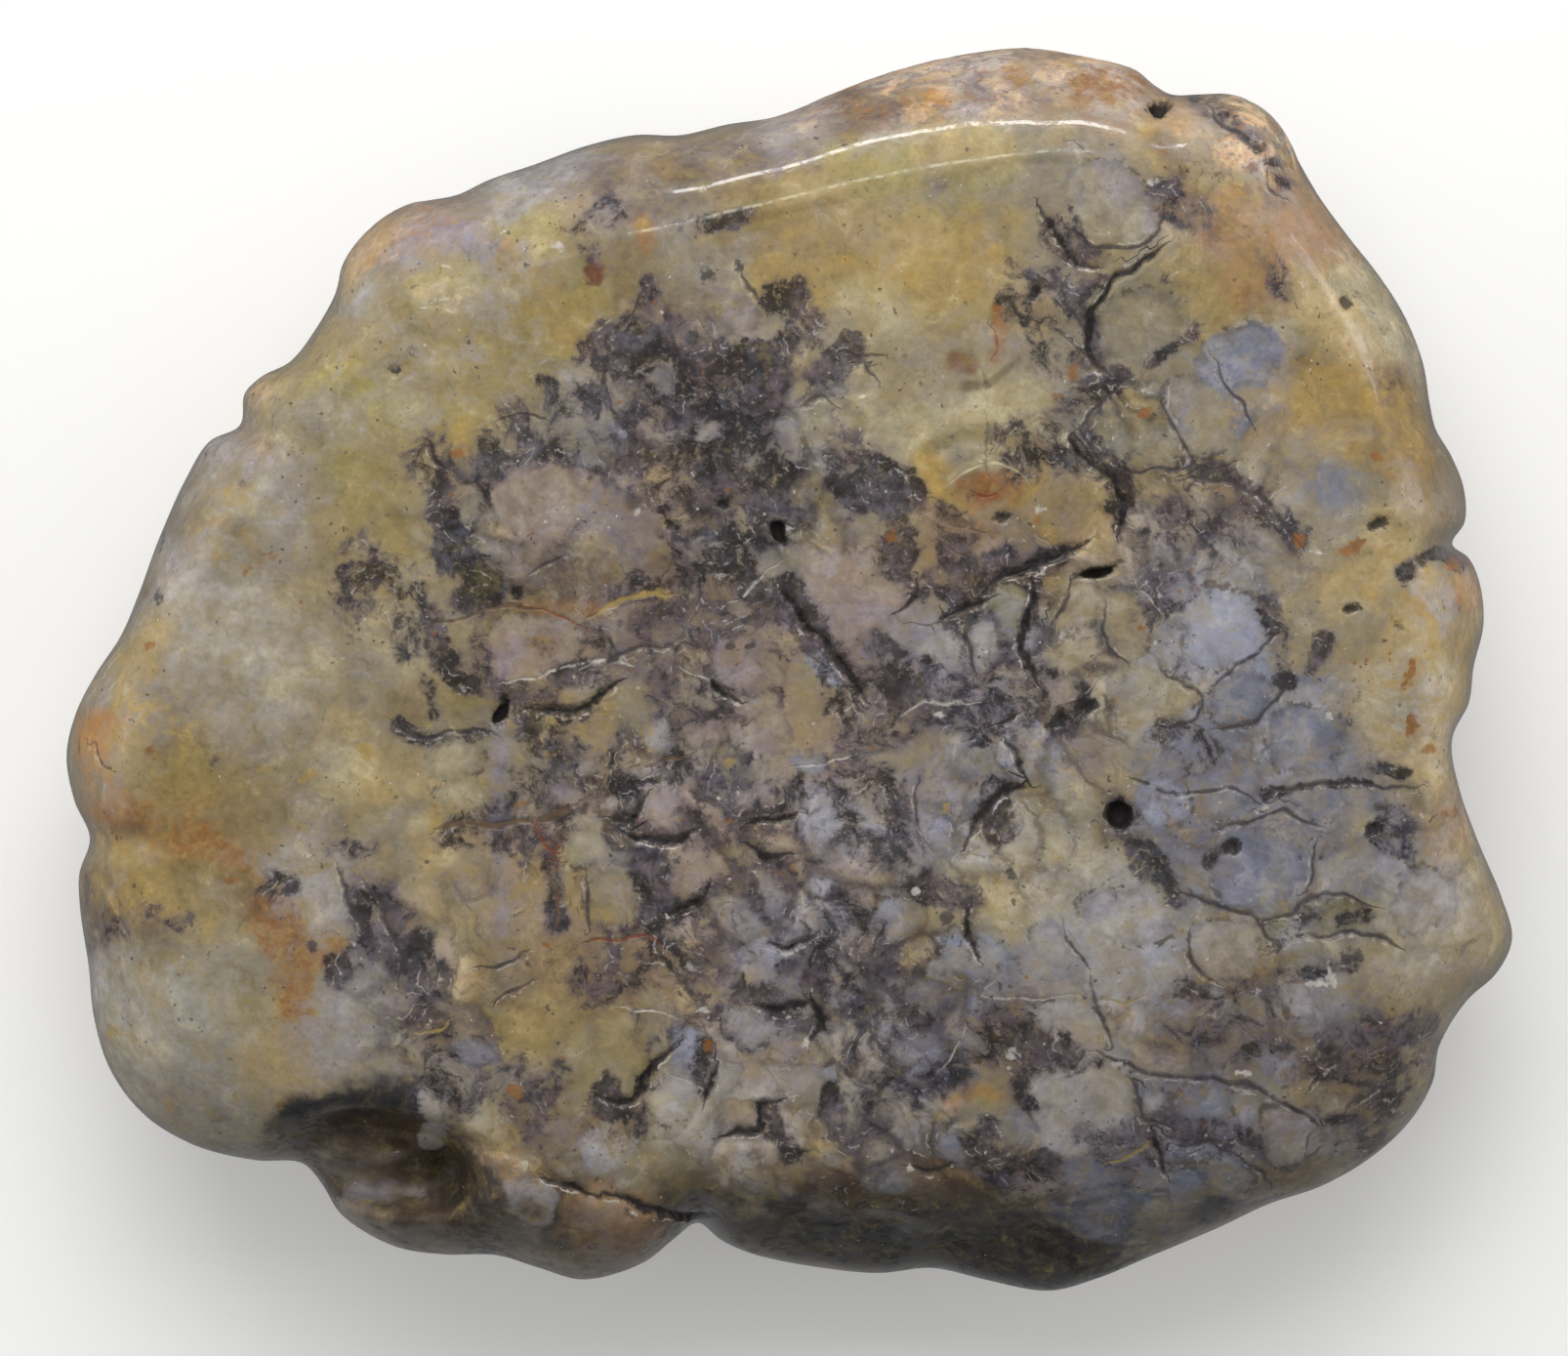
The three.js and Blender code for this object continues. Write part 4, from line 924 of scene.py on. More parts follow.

# The small PALE_BLUE clast at 1106,386 is a painted glint, a white-lilac fleck of light.
CLASTS: tuple[Clast, ...] = tuple(
    Clast(Tint[tint], points(border)) for (tint,), body in entries("""
PINK = 522,482 560,468 598,474 596,505 588,530 566,566 552,582 541,566 534,550 508,528 502,500; 505,645
  545,633 588,648 598,672 574,690 540,701 507,694 500,670; 825,578 868,562 905,576 928,602 922,632 893,650
  860,668 838,648 824,618; 736,642 770,650 796,666 810,692 792,712 750,706 722,682; 652,838 668,812 700,790
  716,800 712,830 690,858 664,852; 686,888 716,866 732,884 722,916 700,926 682,910; 718,838 740,820 748,842
  730,856; 776,866 806,852 818,866 800,878
SAND = 720,312 745,300 768,312 780,334 770,354 745,350 726,336; 604,905 640,888 664,908 668,940 640,952
  606,944; 1062,628 1085,606 1114,602 1124,612 1120,634 1098,644 1070,644; 748,500 768,506 778,540 764,556
  748,540; 1130,605 1160,612 1180,640 1172,668 1146,676 1130,650; 756,868 776,860 770,886 752,890
MOSS = 1102,440 1126,416 1150,426 1148,452 1138,474 1116,464; 1154,446 1180,432 1202,456 1204,480 1170,482
  1152,470; 474,512 490,506 500,524 494,542 476,546 468,530; 812,420 850,424 858,444 838,456 816,448; 842,386
  870,400 858,410 836,402; 1300,925 1340,925 1390,925 1396,938 1350,950 1304,952; 570,815 590,808 600,818
  580,824; 1010,608 1044,592 1058,602 1054,640 1034,646 1014,626
BLUE = 1216,372 1240,346 1290,336 1310,346 1300,390 1284,430 1262,448 1240,412 1218,388; 1240,704 1272,690
  1296,704 1282,728 1262,744 1240,740 1234,722; 1404,858 1430,854 1444,866 1436,880 1412,876; 1286,1072
  1316,1072 1330,1088 1318,1106 1298,1104; 1186,1172 1214,1166 1224,1176 1204,1188 1186,1186; 1226,1190
  1262,1182 1284,1196 1270,1226 1240,1224; 850,1122 872,1124 868,1140 852,1140; 930,1050 960,1040 960,1078
  930,1092 900,1080 908,1054; 1326,820 1356,814 1362,832 1336,838; 955,1150 985,1160 992,1186 970,1184
  950,1168
PALE_BLUE = 950,985 962,960 984,944 992,970 998,996 976,1004 956,1000; 896,928 912,918 918,936 902,952
  892,944; 1106,386 1118,380 1140,390 1128,396 1108,396; 624,440 640,436 646,448 632,452; 826,664 846,676
  862,700 852,706 832,684; 800,612 812,626 816,642 806,640; 840,1090 852,1086 860,1100 846,1106; 996,836
  1014,818 1024,824 1004,852 994,856; 812,775 840,772 846,786 822,792
CREAM = 1134,690 1150,680 1190,682 1222,704 1218,728 1196,744 1150,740 1134,716; 1060,666 1080,652 1104,650
  1118,660 1116,680 1094,694 1076,690; 700,1096 716,1104 714,1130 692,1142 670,1132 668,1112; 756,712 790,706
  800,716 780,726 760,724
LILAC = 946,648 984,642 984,690 960,696 940,680; 988,642 1012,640 1018,680 1000,690 990,670; 680,438 704,436
  706,452 684,450; 712,430 738,436 736,452 714,450; 660,740 680,732 690,760 672,776 656,760; 1062,1080
  1096,1086 1142,1086 1160,1110 1156,1150 1110,1180 1080,1182 1060,1160 1050,1120; 740,1030 770,1024 800,1044
  790,1066 760,1070 740,1056; 516,1202 552,1202 580,1216 574,1240 548,1252 524,1230; 780,840 800,832 812,842
  796,850; 1060,950 1080,940 1094,970 1080,990 1062,980
MAUVE = 348,1214 390,1208 440,1212 430,1222 390,1226 356,1226
PALE_LILAC = 1290,346 1310,350 1296,380 1284,410 1270,400; 1104,1086 1140,1084 1152,1104 1150,1140 1120,1160
  1100,1140; 670,1116 700,1104 712,1120 700,1144 676,1140
MAUVE = 1000,1196 1050,1192 1090,1204 1080,1220 1020,1216; 560,810 600,802 616,822 590,832
SLATE = 1100,1220 1150,1206 1196,1226 1190,1262 1140,1276 1106,1256; 870,1200 920,1196 936,1212 890,1220
BLUE = 1302,736 1330,724 1368,740 1370,780 1340,796 1304,786; 1242,850 1300,846 1330,866 1330,918 1290,934
  1246,922; 1204,1114 1256,1110 1258,1148 1210,1150; 470,1068 500,1062 508,1086 478,1090
PALE_BLUE = 1202,620 1240,602 1290,620 1292,668 1250,686 1204,676; 1440,904 1470,904 1474,928 1444,932;
  1166,806 1200,800 1214,826 1196,850 1168,846; 1000,960 1030,962 1034,984 1002,986; 690,1052 714,1050
  716,1088 694,1090
PALE_LILAC = 1102,914 1150,906 1194,920 1200,958 1150,966 1104,950; 1312,1012 1336,1010 1344,1034 1322,1040;
  1166,1112 1190,1110 1192,1134 1170,1136; 602,1152 648,1150 650,1186 606,1190; 434,1112 458,1112 460,1166
  436,1168; 622,812 652,810 654,830 624,830; 1044,1030 1080,1024 1124,1030 1130,1056 1080,1062
GREY = 1082,196 1100,176 1134,166 1168,182 1186,214 1176,244 1140,258 1104,244; 1132,325 1165,302 1200,312
  1222,336 1208,360 1176,380 1140,374 1118,356; 1186,402 1212,384 1240,400 1260,432 1248,458 1216,468 1196,442
LILAC = 1212,944 1262,940 1290,960 1284,996 1230,1000; 1424,892 1486,896 1482,948 1430,956
MAUVE = 1292,1132 1340,1132 1342,1190 1300,1198
CREAM = 584,828 618,830 620,876 588,880; 482,1122 518,1120 520,1158 486,1160; 442,758 470,752 496,764 490,790
  452,800; 446,804 490,800 500,828 460,832
PINK = 702,734 736,732 742,758 708,760; 752,802 800,800 800,830 756,830; 752,722 798,720 800,768 756,770
MOSS = 1352,1152 1394,1150 1396,1188 1356,1192
RED = 600,274 612,270 622,280 616,298 604,296; 456,532 462,534 464,548 454,546
""")
    for border in body.split(";")
)

# Painted glints: the WHITE seams are thin lines of light along the edges of dark cracks. The first, from
# 520,702, also stands for a raised pale vein.
SEAMS: tuple[Seam, ...] = tuple(
    Seam(Tint[tint], width, float(depth) * MM, path) for (tint, depth), body in entries("""
BLACK 0.3 = 7: 1062,214 1074,236 1086,258 1100,270 1118,276; 6: 1192,252 1168,272 1142,288 1128,308 1114,340
  1112,366 1126,384; 10: 1092,452 1104,470 1122,482 1140,494 1146,518 1144,548; 10: 1000,612 1024,592 1056,582
  1080,570 1112,556; 10: 800,604 822,636 844,660 868,690 886,712; 9: 440,456 448,466 458,476; 10: 542,728
  566,724 592,728 612,716 636,700; 9: 628,838 644,842 656,826 664,814; 8: 640,852 672,858 694,860 716,850; 8:
  686,930 708,926 722,920 724,904; 8: 768,838 788,838 812,834; 8: 766,864 786,876 808,874; 9: 1014,612 984,624
  958,640; 8: 938,600 930,618 922,626; 9: 788,962 804,966 830,958; 8: 776,1028 800,1030 836,1024; 10: 834,1022
  840,1044 832,1064; 8: 990,928 992,952 998,976; 8: 988,862 1000,840 1020,812 1050,804; 9: 1030,762 1040,784
  1050,798; 8: 1020,740 1036,734; 8: 1052,596 1056,618 1050,642 1044,668 1060,696; 9: 720,694 734,708 756,716;
  10: 618,1120 640,1126 656,1116 660,1096 690,1068; 8: 724,1126 728,1102 732,1084; 8: 740,1158 756,1154
  780,1150 776,1128 800,1122; 7: 560,1200 580,1206 598,1216 616,1222; 10: 616,1216 660,1232 700,1242 736,1242;
  8: 1176,1156 1184,1176 1190,1196; 6: 930,1190 950,1196 970,1192
CHARCOAL 0 = 6: 1196,694 1216,706 1228,712 1226,734 1200,744 1180,746; 6: 1238,704 1262,684 1282,666 1300,652;
  6: 1244,746 1268,742 1288,728 1304,712 1318,690; 5: 1160,797 1180,806 1210,813 1250,806 1284,820; 5:
  1290,812 1330,804 1380,800 1420,806 1452,804; 5: 1246,850 1276,840 1304,830 1322,834 1346,844; 6: 1206,912
  1240,926 1278,936 1292,956 1306,962; 5: 1290,942 1318,930 1336,920 1380,918 1404,928; 6: 1298,972 1320,960
  1366,955 1410,957 1430,970; 5: 1344,862 1338,886 1334,912; 7: 1120,1076 1146,1084 1170,1096 1226,1100
  1262,1106 1310,1124 1344,1148; 6: 1152,1088 1162,1116 1170,1140 1196,1152; 5: 1200,1172 1230,1168 1262,1160;
  4: 1268,1186 1290,1198 1300,1222; 7: 352,890 358,912 366,934 374,948; 7: 380,900 394,918 404,944 416,980
  414,1004; 5: 1214,952 1216,976 1226,994 1240,1004; 5: 1150,390 1130,410 1112,430 1094,446; 6: 1184,416
  1200,440 1212,464 1220,484; 5: 1100,440 1130,480 1170,484 1204,482 1240,484 1262,478; 7: 1208,494 1236,492
  1262,500 1300,522 1326,560; 5: 1238,368 1254,398 1268,420 1280,442; 6: 762,282 766,300 784,318; 6: 664,300
  656,314 646,328; 6: 986,642 990,666 996,692; 4: 934,640 950,642 968,630; 5: 820,418 840,412 856,420; 6:
  900,396 880,372 862,366; 6: 906,368 890,368 876,376; 5: 520,430 548,426 560,434; 5: 600,690 630,676 660,664
  690,662; 5: 546,588 560,580 576,572; 5: 490,990 520,984 546,972; 5: 514,1024 532,1008 548,1002; 7: 604,900
  606,924 608,950; 5: 1110,1000 1122,1030 1140,1070; 5: 1088,950 1100,970 1110,986; 5: 95,760 106,770 112,780
  120,786; 4: 862,700 876,716 884,730; 5: 1096,600 1086,620 1072,640; 5: 1150,680 1130,660 1126,620; 6:
  1235,110 1252,130 1270,142 1282,156; 6: 1300,176 1296,196 1312,206; 5: 940,800 936,830 944,850; 4: 700,776
  680,780 650,788; 4: 1120,700 1108,716 1090,724; 4: 1350,1148 1340,1160 1336,1176; 5: 1340,1110 1356,1086
  1370,1066; 5: 1372,1140 1390,1120 1420,1104; 5: 404,742 430,756 470,748 510,752; 6: 1190,214 1180,240
  1146,260 1104,250 1088,236
RED 0 = 7: 560,624 578,634 600,646; 5: 548,842 562,862 576,882 574,892; 4: 572,852 580,870; 6: 600,962 640,958
  664,960 682,972
BROWN 0 = 5: 436,640 470,636 500,626 530,620 556,622; 9: 452,852 476,842 510,846 546,840 572,832 594,822; 9:
  566,884 570,910 574,936 570,954; 6: 652,786 680,780 706,774; 4: 1008,436 1008,466; 3: 1010,462 1010,488; 4:
  1022,446 1020,468; 5: 962,528 984,538 1004,548; 4: 960,552 974,566 990,572; 4: 690,576 684,590 676,604; 5:
  1096,150 1104,156
PALE_CREAM 0 = 3: 974,494 990,480 1010,476 1034,481 1048,493
BROWN 0 = 5: 962,528 978,541 1008,548
RED 0 = 6: 996,506 1008,510 1020,506; 4: 1014,338 1020,356 1012,372
OCHRE 0 = 9: 608,628 640,616 668,606 690,608; 5: 1130,1022 1148,1028 1166,1018; 6: 1130,1190 1156,1180
  1176,1168; 6: 430,1054 450,1052 460,1046
WHITE 0 = 4: 520,702 556,692 590,682 620,678 650,680; 3: 912,736 930,724 950,718 980,716 1000,720; 3: 1194,402
  1190,420 1206,448 1214,480; 3: 1180,804 1210,814 1236,808 1250,808; 3: 1300,970 1340,962 1380,960; 3:
  780,966 800,974 832,966; 3: 640,1028 664,1030 690,1040; 3: 700,686 720,696 736,714; 3: 686,1096 704,1104
  718,1108; 3: 620,644 600,630 596,624; 3: 984,1056 974,1076 960,1094; 3: 812,786 840,780 872,770; 3:
  1000,1016 1040,1020 1100,1018; 3: 1160,600 1180,620 1186,626; 3: 742,620 770,600 796,580
""")
    for width, path in strokes(body)
)

SPOTS: tuple[Spot, ...] = tuple(
    Spot(Tint[tint], (x, y), (along, across), turn, float(depth) * MM) for (tint, depth), body in entries("""
BLACK 0.7 = 798 544 9 15 15, 516 728 6 18 -10, 1142 832 13 18 10, 1122 586 20 6 20, 1186 113 12 8 20
BLACK 0.26 = 531 608 7 7 0, 688 540 8 5 -40, 1404 538 12 7 15, 1375 312 6 8 0, 1026 532 7 6 0, 738 518 6 6 0,
  1258 866 12 10 0, 408 382 6 5 0, 1058 303 6 6 0, 1378 624 9 6 20, 1110 726 14 8 10, 1084 734 14 6 10,
  1400 850 8 9 0, 1334 992 10 4 0
CHARCOAL 0 = 726 285 6 7 0, 760 278 5 5 0, 878 524 5 8 0, 918 512 8 7 0, 166 612 5 8 0, 165 557 6 7 0,
  386 596 5 6 0, 360 612 7 4 10, 968 640 7 5 30, 942 990 9 8 0, 972 936 6 8 30, 1035 894 6 4 0,
  300 908 14 7 0, 322 966 7 7 0, 750 662 5 7 0, 768 664 6 3 30, 1334 936 4 12 -30, 1380 978 12 8 20,
  540 1122 12 6 -20, 1430 848 5 5 0, 850 776 7 3 -20
RUST 0 = 1018 322 7 6 0, 1095 386 6 7 0, 1078 411 5 5 0, 1168 425 7 6 40, 1062 530 6 7 0, 910 548 5 6 30,
  472 466 4 5 0, 256 584 5 4 0, 280 572 5 4 0, 157 662 5 6 30, 158 770 6 6 0, 1168 646 7 4 0, 1405 474 6 5 30,
  1436 690 5 12 0, 1326 556 8 6 40, 1380 562 14 5 20, 1456 768 6 6 0, 537 823 6 4 0, 562 964 4 4 0,
  726 1068 5 5 0, 1484 578 8 5 0, 532 1114 6 7 0, 1482 832 8 5 0, 1440 742 4 14 0, 244 900 6 5 0
WHITE 0 = 574 254 6 6 0, 1343 565 6 4 10, 1268 1096 6 4 -10, 1300 1060 3.5 3.5 0, 1358 998 5 11 25,
  1344 1006 5 3 0, 935 911 4 4 0, 957 730 5 4 0, 1065 522 4 4 0, 650 525 3 3 0, 1178 190 5 4 0, 670 946 4 3 0,
  809 543 3 3 0, 1285 826 4 3 0, 1224 936 4 2.5 0, 1280 1012 4 2.5 0, 1354 736 4 3 0, 712 491 2.5 2.5 0,
  722 196 3 3 0, 828 1066 4 5 0, 1034 1076 5 5 0, 1034 1092 3 4 0, 723 1032 4 3 0, 1298 708 2.5 3 0,
  1145 1086 4 2.5 0, 194 980 3 2 0, 932 1193 4 3 0
OCHRE 0 = 322 794 10 5 10, 380 768 7 9 0, 967 826 4 5 0, 680 608 8 6 0, 746 780 5 5 0, 660 235 6 8 0,
  180 1132 5 8 0, 218 1136 5 5 0, 246 1122 4 4 0, 118 1056 7 5 0
""")
    for x, y, along, across, turn in (map(float, mark.split()) for mark in body.split(","))
)

# Where the rough rind is left: middle, half sizes, turn and amount.
RIND: tuple[tuple[Point, Point, float, float], ...] = (
    ((980, 82), (220, 46), 6, 0.8),
    ((1288, 146), (52, 62), 0, 1.0),
    ((1240, 225), (70, 30), 0, 0.35),
    ((400, 235), (60, 40), 35, 0.4),
    ((390, 1190), (110, 60), -8, 0.15),
    ((110, 900), (60, 60), 0, 0.3),
    ((514, 1190), (28, 22), 0, 0.7),
    ((456, 308), (34, 14), -10, 0.5),
)


# ---- Painting the markings on the surface ----

# A distance that counts as far off, and the least length of a chord, in steps.
FAR = 1e3
LEAST_CHORD = 1e-6
# What is kept of the nearest crisp mark of each kind.
MEASURES = {"seam": ("seam_side", "seam_near", "seam_half"), "clast": ("clast_edge",), "spot": ("spot_edge",)}


def fine_path(path: Sequence[Point], pitch: float = 9.0) -> np.ndarray:
    """Rounds a drawn path into short chords.

    Args:
        path: its points on the grid.
        pitch: about how long a chord is, in steps.

    Returns:
        The ends of the chords.
    """
    points = np.array(path, float)
    if len(points) < 3:
        return points
    chords = max(2, round(np.linalg.norm(np.diff(points, axis=0), axis=1).mean() / pitch))
    at = np.linspace(0, len(points) - 1, chords * (len(points) - 1) + 1)
    return curve_through(points, at, False)


@dataclass
class Nearness:
    """How some vertices lie to a path: distance, side, and run along it, all in steps."""

    which: np.ndarray
    distance: np.ndarray
    side: np.ndarray
    run: np.ndarray
    length: float


def nearness(plan: np.ndarray, path: Sequence[Point], within: float) -> Nearness:
    """Measures the vertices near a path.

    Args:
        plan: grid places of all vertices.
        path: drawn points.
        within: how far away a vertex still counts.

    Returns:
        The measures of the vertices in the path's box, grown by within.
    """
    points = fine_path(path)
    low, high = points.min(0) - within, points.max(0) + within
    which = np.flatnonzero(((plan >= low) & (plan <= high)).all(1))
    near = plan[which]
    best = np.full(len(near), FAR)
    side = np.ones(len(near))
    run = np.zeros(len(near))
    passed = 0.0
    if len(points) == 1:
        away = near - points[0]
        return Nearness(which, np.hypot(*away.T), side, run, 0.0)
    for start, end in zip(points[:-1], points[1:]):
        along = end - start
        span = max(float(np.hypot(*along)), LEAST_CHORD)
        away = near - start
        share = np.clip(away @ along / span**2, 0.0, 1.0)
        gap = np.hypot(*(away - share[:, None] * along).T)
        closer = gap < best
        best = np.where(closer, gap, best)
        side = np.where(closer, np.where(along[0] * away[:, 1] - along[1] * away[:, 0] < 0, -1.0, 1.0), side)
        run = np.where(closer, passed + share * span, run)
        passed += span
    return Nearness(which, best, side, run, passed)


@dataclass
class Coat:
    """What the painter knows of every vertex, for the shader to read."""

    colours: dict[str, np.ndarray]
    values: dict[str, np.ndarray]

    @classmethod
    def bare(cls, count: int) -> "Coat":
        """The stone before anything is laid on it.

        Args:
            count: how many vertices it has.

        Returns:
            A plain ground without marks.
        """
        grounds = {
            "ground": Tint.GREY, "bloom": Tint.KHAKI,
            "clast": Tint.GREY, "seam": Tint.BLACK, "spot": Tint.BLACK,
        }
        levels = {
            "bloom_cover": 0.3, "soot_cover": 0.0, "mosaic_cover": 0.05, "clast_edge": FAR,
            "seam_side": FAR, "seam_near": FAR, "seam_half": -FAR, "spot_edge": FAR,
        }
        return cls(
            {name: np.tile(tint.linear(), (count, 1)) for name, tint in grounds.items()},
            {name: np.full(count, level) for name, level in levels.items()},
        )

    def merge(self, other: "Coat", share: np.ndarray, pinch: float = 45.0) -> None:
        """Joins another coat to this one.

        Grounds blend. Crisp marks pinch out where the other coat takes over.

        Args:
            other: the coat to join.
            share: how much of the other coat shows at each vertex.
            pinch: how far the marks of the weaker coat shrink, in steps.
        """
        for name in ("bloom_cover", "soot_cover", "mosaic_cover"):
            self.values[name] += share * (other.values[name] - self.values[name])
        for name in ("ground", "bloom"):
            self.colours[name] += share[:, None] * (other.colours[name] - self.colours[name])
        for coat, weight in ((self, share), (other, 1 - share)):
            coat.values["seam_half"] -= pinch * weight
            coat.values["clast_edge"] += pinch * weight
            coat.values["spot_edge"] += pinch * weight
        for kind, names in MEASURES.items():
            taken = other.edge(kind) < self.edge(kind)
            self.colours[kind][taken] = other.colours[kind][taken]
            for name in names:
                self.values[name][taken] = other.values[name][taken]

    def edge(self, kind: str) -> np.ndarray:
        """Measures the nearest crisp mark of a kind.

        Args:
            kind: clast, seam or spot.

        Returns:
            How far each vertex lies outside it, in steps.
        """
        if kind == "seam":
            return self.values["seam_near"] - self.values["seam_half"]
        return self.values[f"{kind}_edge"]

    def keep_nearer(
        self,
        kind: str,
        which: np.ndarray,
        given: dict[str, np.ndarray],
        edge: np.ndarray,
        tint: Sequence[float],
    ) -> None:
        """Puts a crisp mark on the vertices to which it is nearer than the marks before it.

        Args:
            kind: clast, seam or spot.
            which: numbers of the vertices about the mark.
            given: the measures to keep, by name.
            edge: how far each of those vertices lies outside the mark.
            tint: the mark's colour in linear light.
        """
        closer = edge < self.edge(kind)[which]
        self.colours[kind][which[closer]] = tint
        for name, values in given.items():
            self.values[name][which[closer]] = values[closer]


@dataclass
class Painter:
    """Lays the markings on the stone's vertices.

    Lengths are in steps. A span is how far from a mark its vertices are looked for.
    """

    stains: Sequence[Stain]
    clasts: Sequence[Clast]
    seams: Sequence[Seam]
    spots: Sequence[Spot]
    wobble_lengths: tuple[float, ...] = (70.0, 24.0, 9.0)
    wobble_shift: float = 7.3
    wobble_seed: int = 17
    stain_wobble: tuple[float, ...] = (0.45, 0.5, 0.3)
    mark_wobble: tuple[float, ...] = (0.0, 6.0, 2.5)
    stain_soft: float = 0.5
    stain_reaches: float = 2.6
    clast_span: float = 16.0
    clast_splits: int = 3
    clast_sway: float = 0.10
    seam_span: float = 30.0
    seam_taper: float = 26.0
    seam_tip: float = 0.35
    drawn_width: float = 0.36
    spot_span: float = 25.0
    least_opening: float = 5.5
    tip_opening: float = 0.4
    pit_wall: Point = (0.35, 1.15)

    def wobbles(self, places: np.ndarray) -> list[np.ndarray]:
        """Smooth noise, so that no edge is drawn with a ruler.

        Args:
            places: the vertices, in metres.

        Returns:
            For each size of noise, two values a vertex.
        """
        noise.seed_set(self.wobble_seed)
        made = []
        for k, length in enumerate(self.wobble_lengths):
            scale = 1 / (length * GRID.step)
            shift = Vector((self.wobble_shift * k, 0, 0))
            rows = [noise.noise_vector(Vector(place) * scale + shift) for place in places]
            made.append(np.array(rows)[:, :2])
        return made

    def bent(self, plan: np.ndarray, wobbles: list[np.ndarray]) -> np.ndarray:
        """Places on the grid, shifted a little by the noise."""
        return plan + sum(amount * wobble for amount, wobble in zip(self.mark_wobble, wobbles))

    def paint(self, plan: np.ndarray, wobbles: list[np.ndarray]) -> Coat:
        """Paints everything on vertices at places of the grid.

        Args:
            plan: where each vertex lies on the grid.
            wobbles: the noise of each vertex.

        Returns:
            The finished coat.
        """
        coat = Coat.bare(len(plan))
        for stain in self.stains:
            self.lay_stain(coat, stain, plan, wobbles)
        bent = self.bent(plan, wobbles)
        for clast in self.clasts:
            self.lay_clast(coat, clast, bent)
        for seam in self.seams:
            self.lay_seam(coat, seam, bent)
        for spot in self.spots:
            self.lay_spot(coat, spot, bent)
        return coat

    def lay_stain(self, coat: Coat, stain: Stain, plan: np.ndarray, wobbles: list[np.ndarray]) -> None:
        """Lays one stain over what is there.

        Args:
            coat: the coat to change.
            stain: the stain.
            plan: where each vertex lies on the grid.
            wobbles: the noise of each vertex.
        """
        near = nearness(plan, stain.path, self.stain_reaches * stain.reach)
        bend = sum(share * wobble[near.which, 0] for share, wobble in zip(self.stain_wobble, wobbles))
        weight = 1 - fade(1 - self.stain_soft, 1 + self.stain_soft, near.distance / stain.reach + bend)
        tint = np.array(stain.tint.linear())
        if stain.layer is Layer.GROUND:
            ground = coat.colours["ground"]
            ground[near.which] += (weight * stain.amount)[:, None] * (tint - ground[near.which])
            return
        cover = coat.values[f"{stain.layer.value}_cover"]
        cover[near.which] += weight * (stain.amount - cover[near.which])
        if stain.layer is Layer.BLOOM:
            bloom = coat.colours["bloom"]
            bloom[near.which] += weight[:, None] * (tint - bloom[near.which])

    def lay_clast(self, coat: Coat, clast: Clast, plan: np.ndarray) -> None:
        """Lays one clast, in a shade of its own.

        Args:
            coat: the coat to change.
            clast: the clast.
            plan: where each vertex lies on the grid.
        """
        points = np.array(clast.border, float)
        turns = np.arange(self.clast_splits * len(points)) / self.clast_splits
        border = curve_through(points, turns, True)
        near = nearness(plan, [*border, border[0]], self.clast_span)
        gap = np.where(enclosed(plan[near.which], border), -near.distance, near.distance)
        tint = np.array(clast.tint.linear()) * (1 + self.clast_sway * math.sin(points.sum()))
        coat.keep_nearer("clast", near.which, {"clast_edge": gap}, gap, tint)

    def lay_seam(self, coat: Coat, seam: Seam, plan: np.ndarray) -> None:
        """Lays one seam.

        Args:
            coat: the coat to change.
            seam: the seam. One that is open is coloured over its whole width.
            plan: where each vertex lies on the grid.
        """
        near = nearness(plan, seam.path, self.seam_span + seam.width)
        half = seam.width * (0.5 if seam.depth > 0 else self.drawn_width) * self.fullness(near)
        given = {"seam_side": near.distance * near.side, "seam_near": near.distance, "seam_half": half}
        coat.keep_nearer("seam", near.which, given, near.distance - half, seam.tint.linear())

    def fullness(self, near: Nearness) -> np.ndarray:
        """How full a seam is at each vertex, thinner towards its ends."""
        ends = np.minimum(near.run, near.length - near.run) / self.seam_taper
        return self.seam_tip + (1 - self.seam_tip) * eased(ends)

    def lay_spot(self, coat: Coat, spot: Spot, plan: np.ndarray) -> None:
        """Lays one spot.

        Args:
            coat: the coat to change.
            spot: the spot.
            plan: where each vertex lies on the grid.
        """
        which = np.flatnonzero((np.abs(plan - spot.at) < max(spot.size) + self.spot_span).all(1))
        edge = (form_distance(plan[which], spot.at, spot.size, spot.turn) - 1) * min(spot.size)
        coat.keep_nearer("spot", which, {"spot_edge": edge}, edge, spot.tint.linear())

    def opened(self, plan: np.ndarray, wobbles: list[np.ndarray]) -> np.ndarray:
        """Opens the cracks and pits.

        Args:
            plan: where each vertex lies on the grid.
            wobbles: the noise of each vertex.

        Returns:
            How deep they are at each vertex, in metres.
        """
        depth = np.zeros(len(plan))
        bent = self.bent(plan, wobbles)
        for seam in self.seams:
            if seam.depth <= 0:
                continue
            half = max(seam.width / 2, self.least_opening)
            near = nearness(bent, seam.path, 2 * half)
            full = self.fullness(near)
            wall = half * (self.tip_opening + (1 - self.tip_opening) * full)
            cut = seam.depth * full * (1 - fade(0.0, 1.0, near.distance / wall))
            depth[near.which] = np.maximum(depth[near.which], cut)
        for spot in self.spots:
            if spot.depth <= 0:
                continue
            away = form_distance(bent, spot.at, spot.size, spot.turn)
            depth = np.maximum(depth, spot.depth * (1 - fade(*self.pit_wall, away)))
        return depth


def enclosed(points: np.ndarray, border: np.ndarray) -> np.ndarray:
    """Tells which points lie inside a closed border.

    Args:
        points: the points, one a row.
        border: the border's corners.

    Returns:
        True for each point inside.
    """
    x, y = points.T
    within = np.zeros(len(points), bool)
    for (x0, y0), (x1, y1) in zip(border, np.roll(border, -1, axis=0)):
        if y0 != y1:
            within ^= ((y0 > y) != (y1 > y)) & (x < (x1 - x0) * (y - y0) / (y1 - y0) + x0)
    return within


# ---- Node writing ----


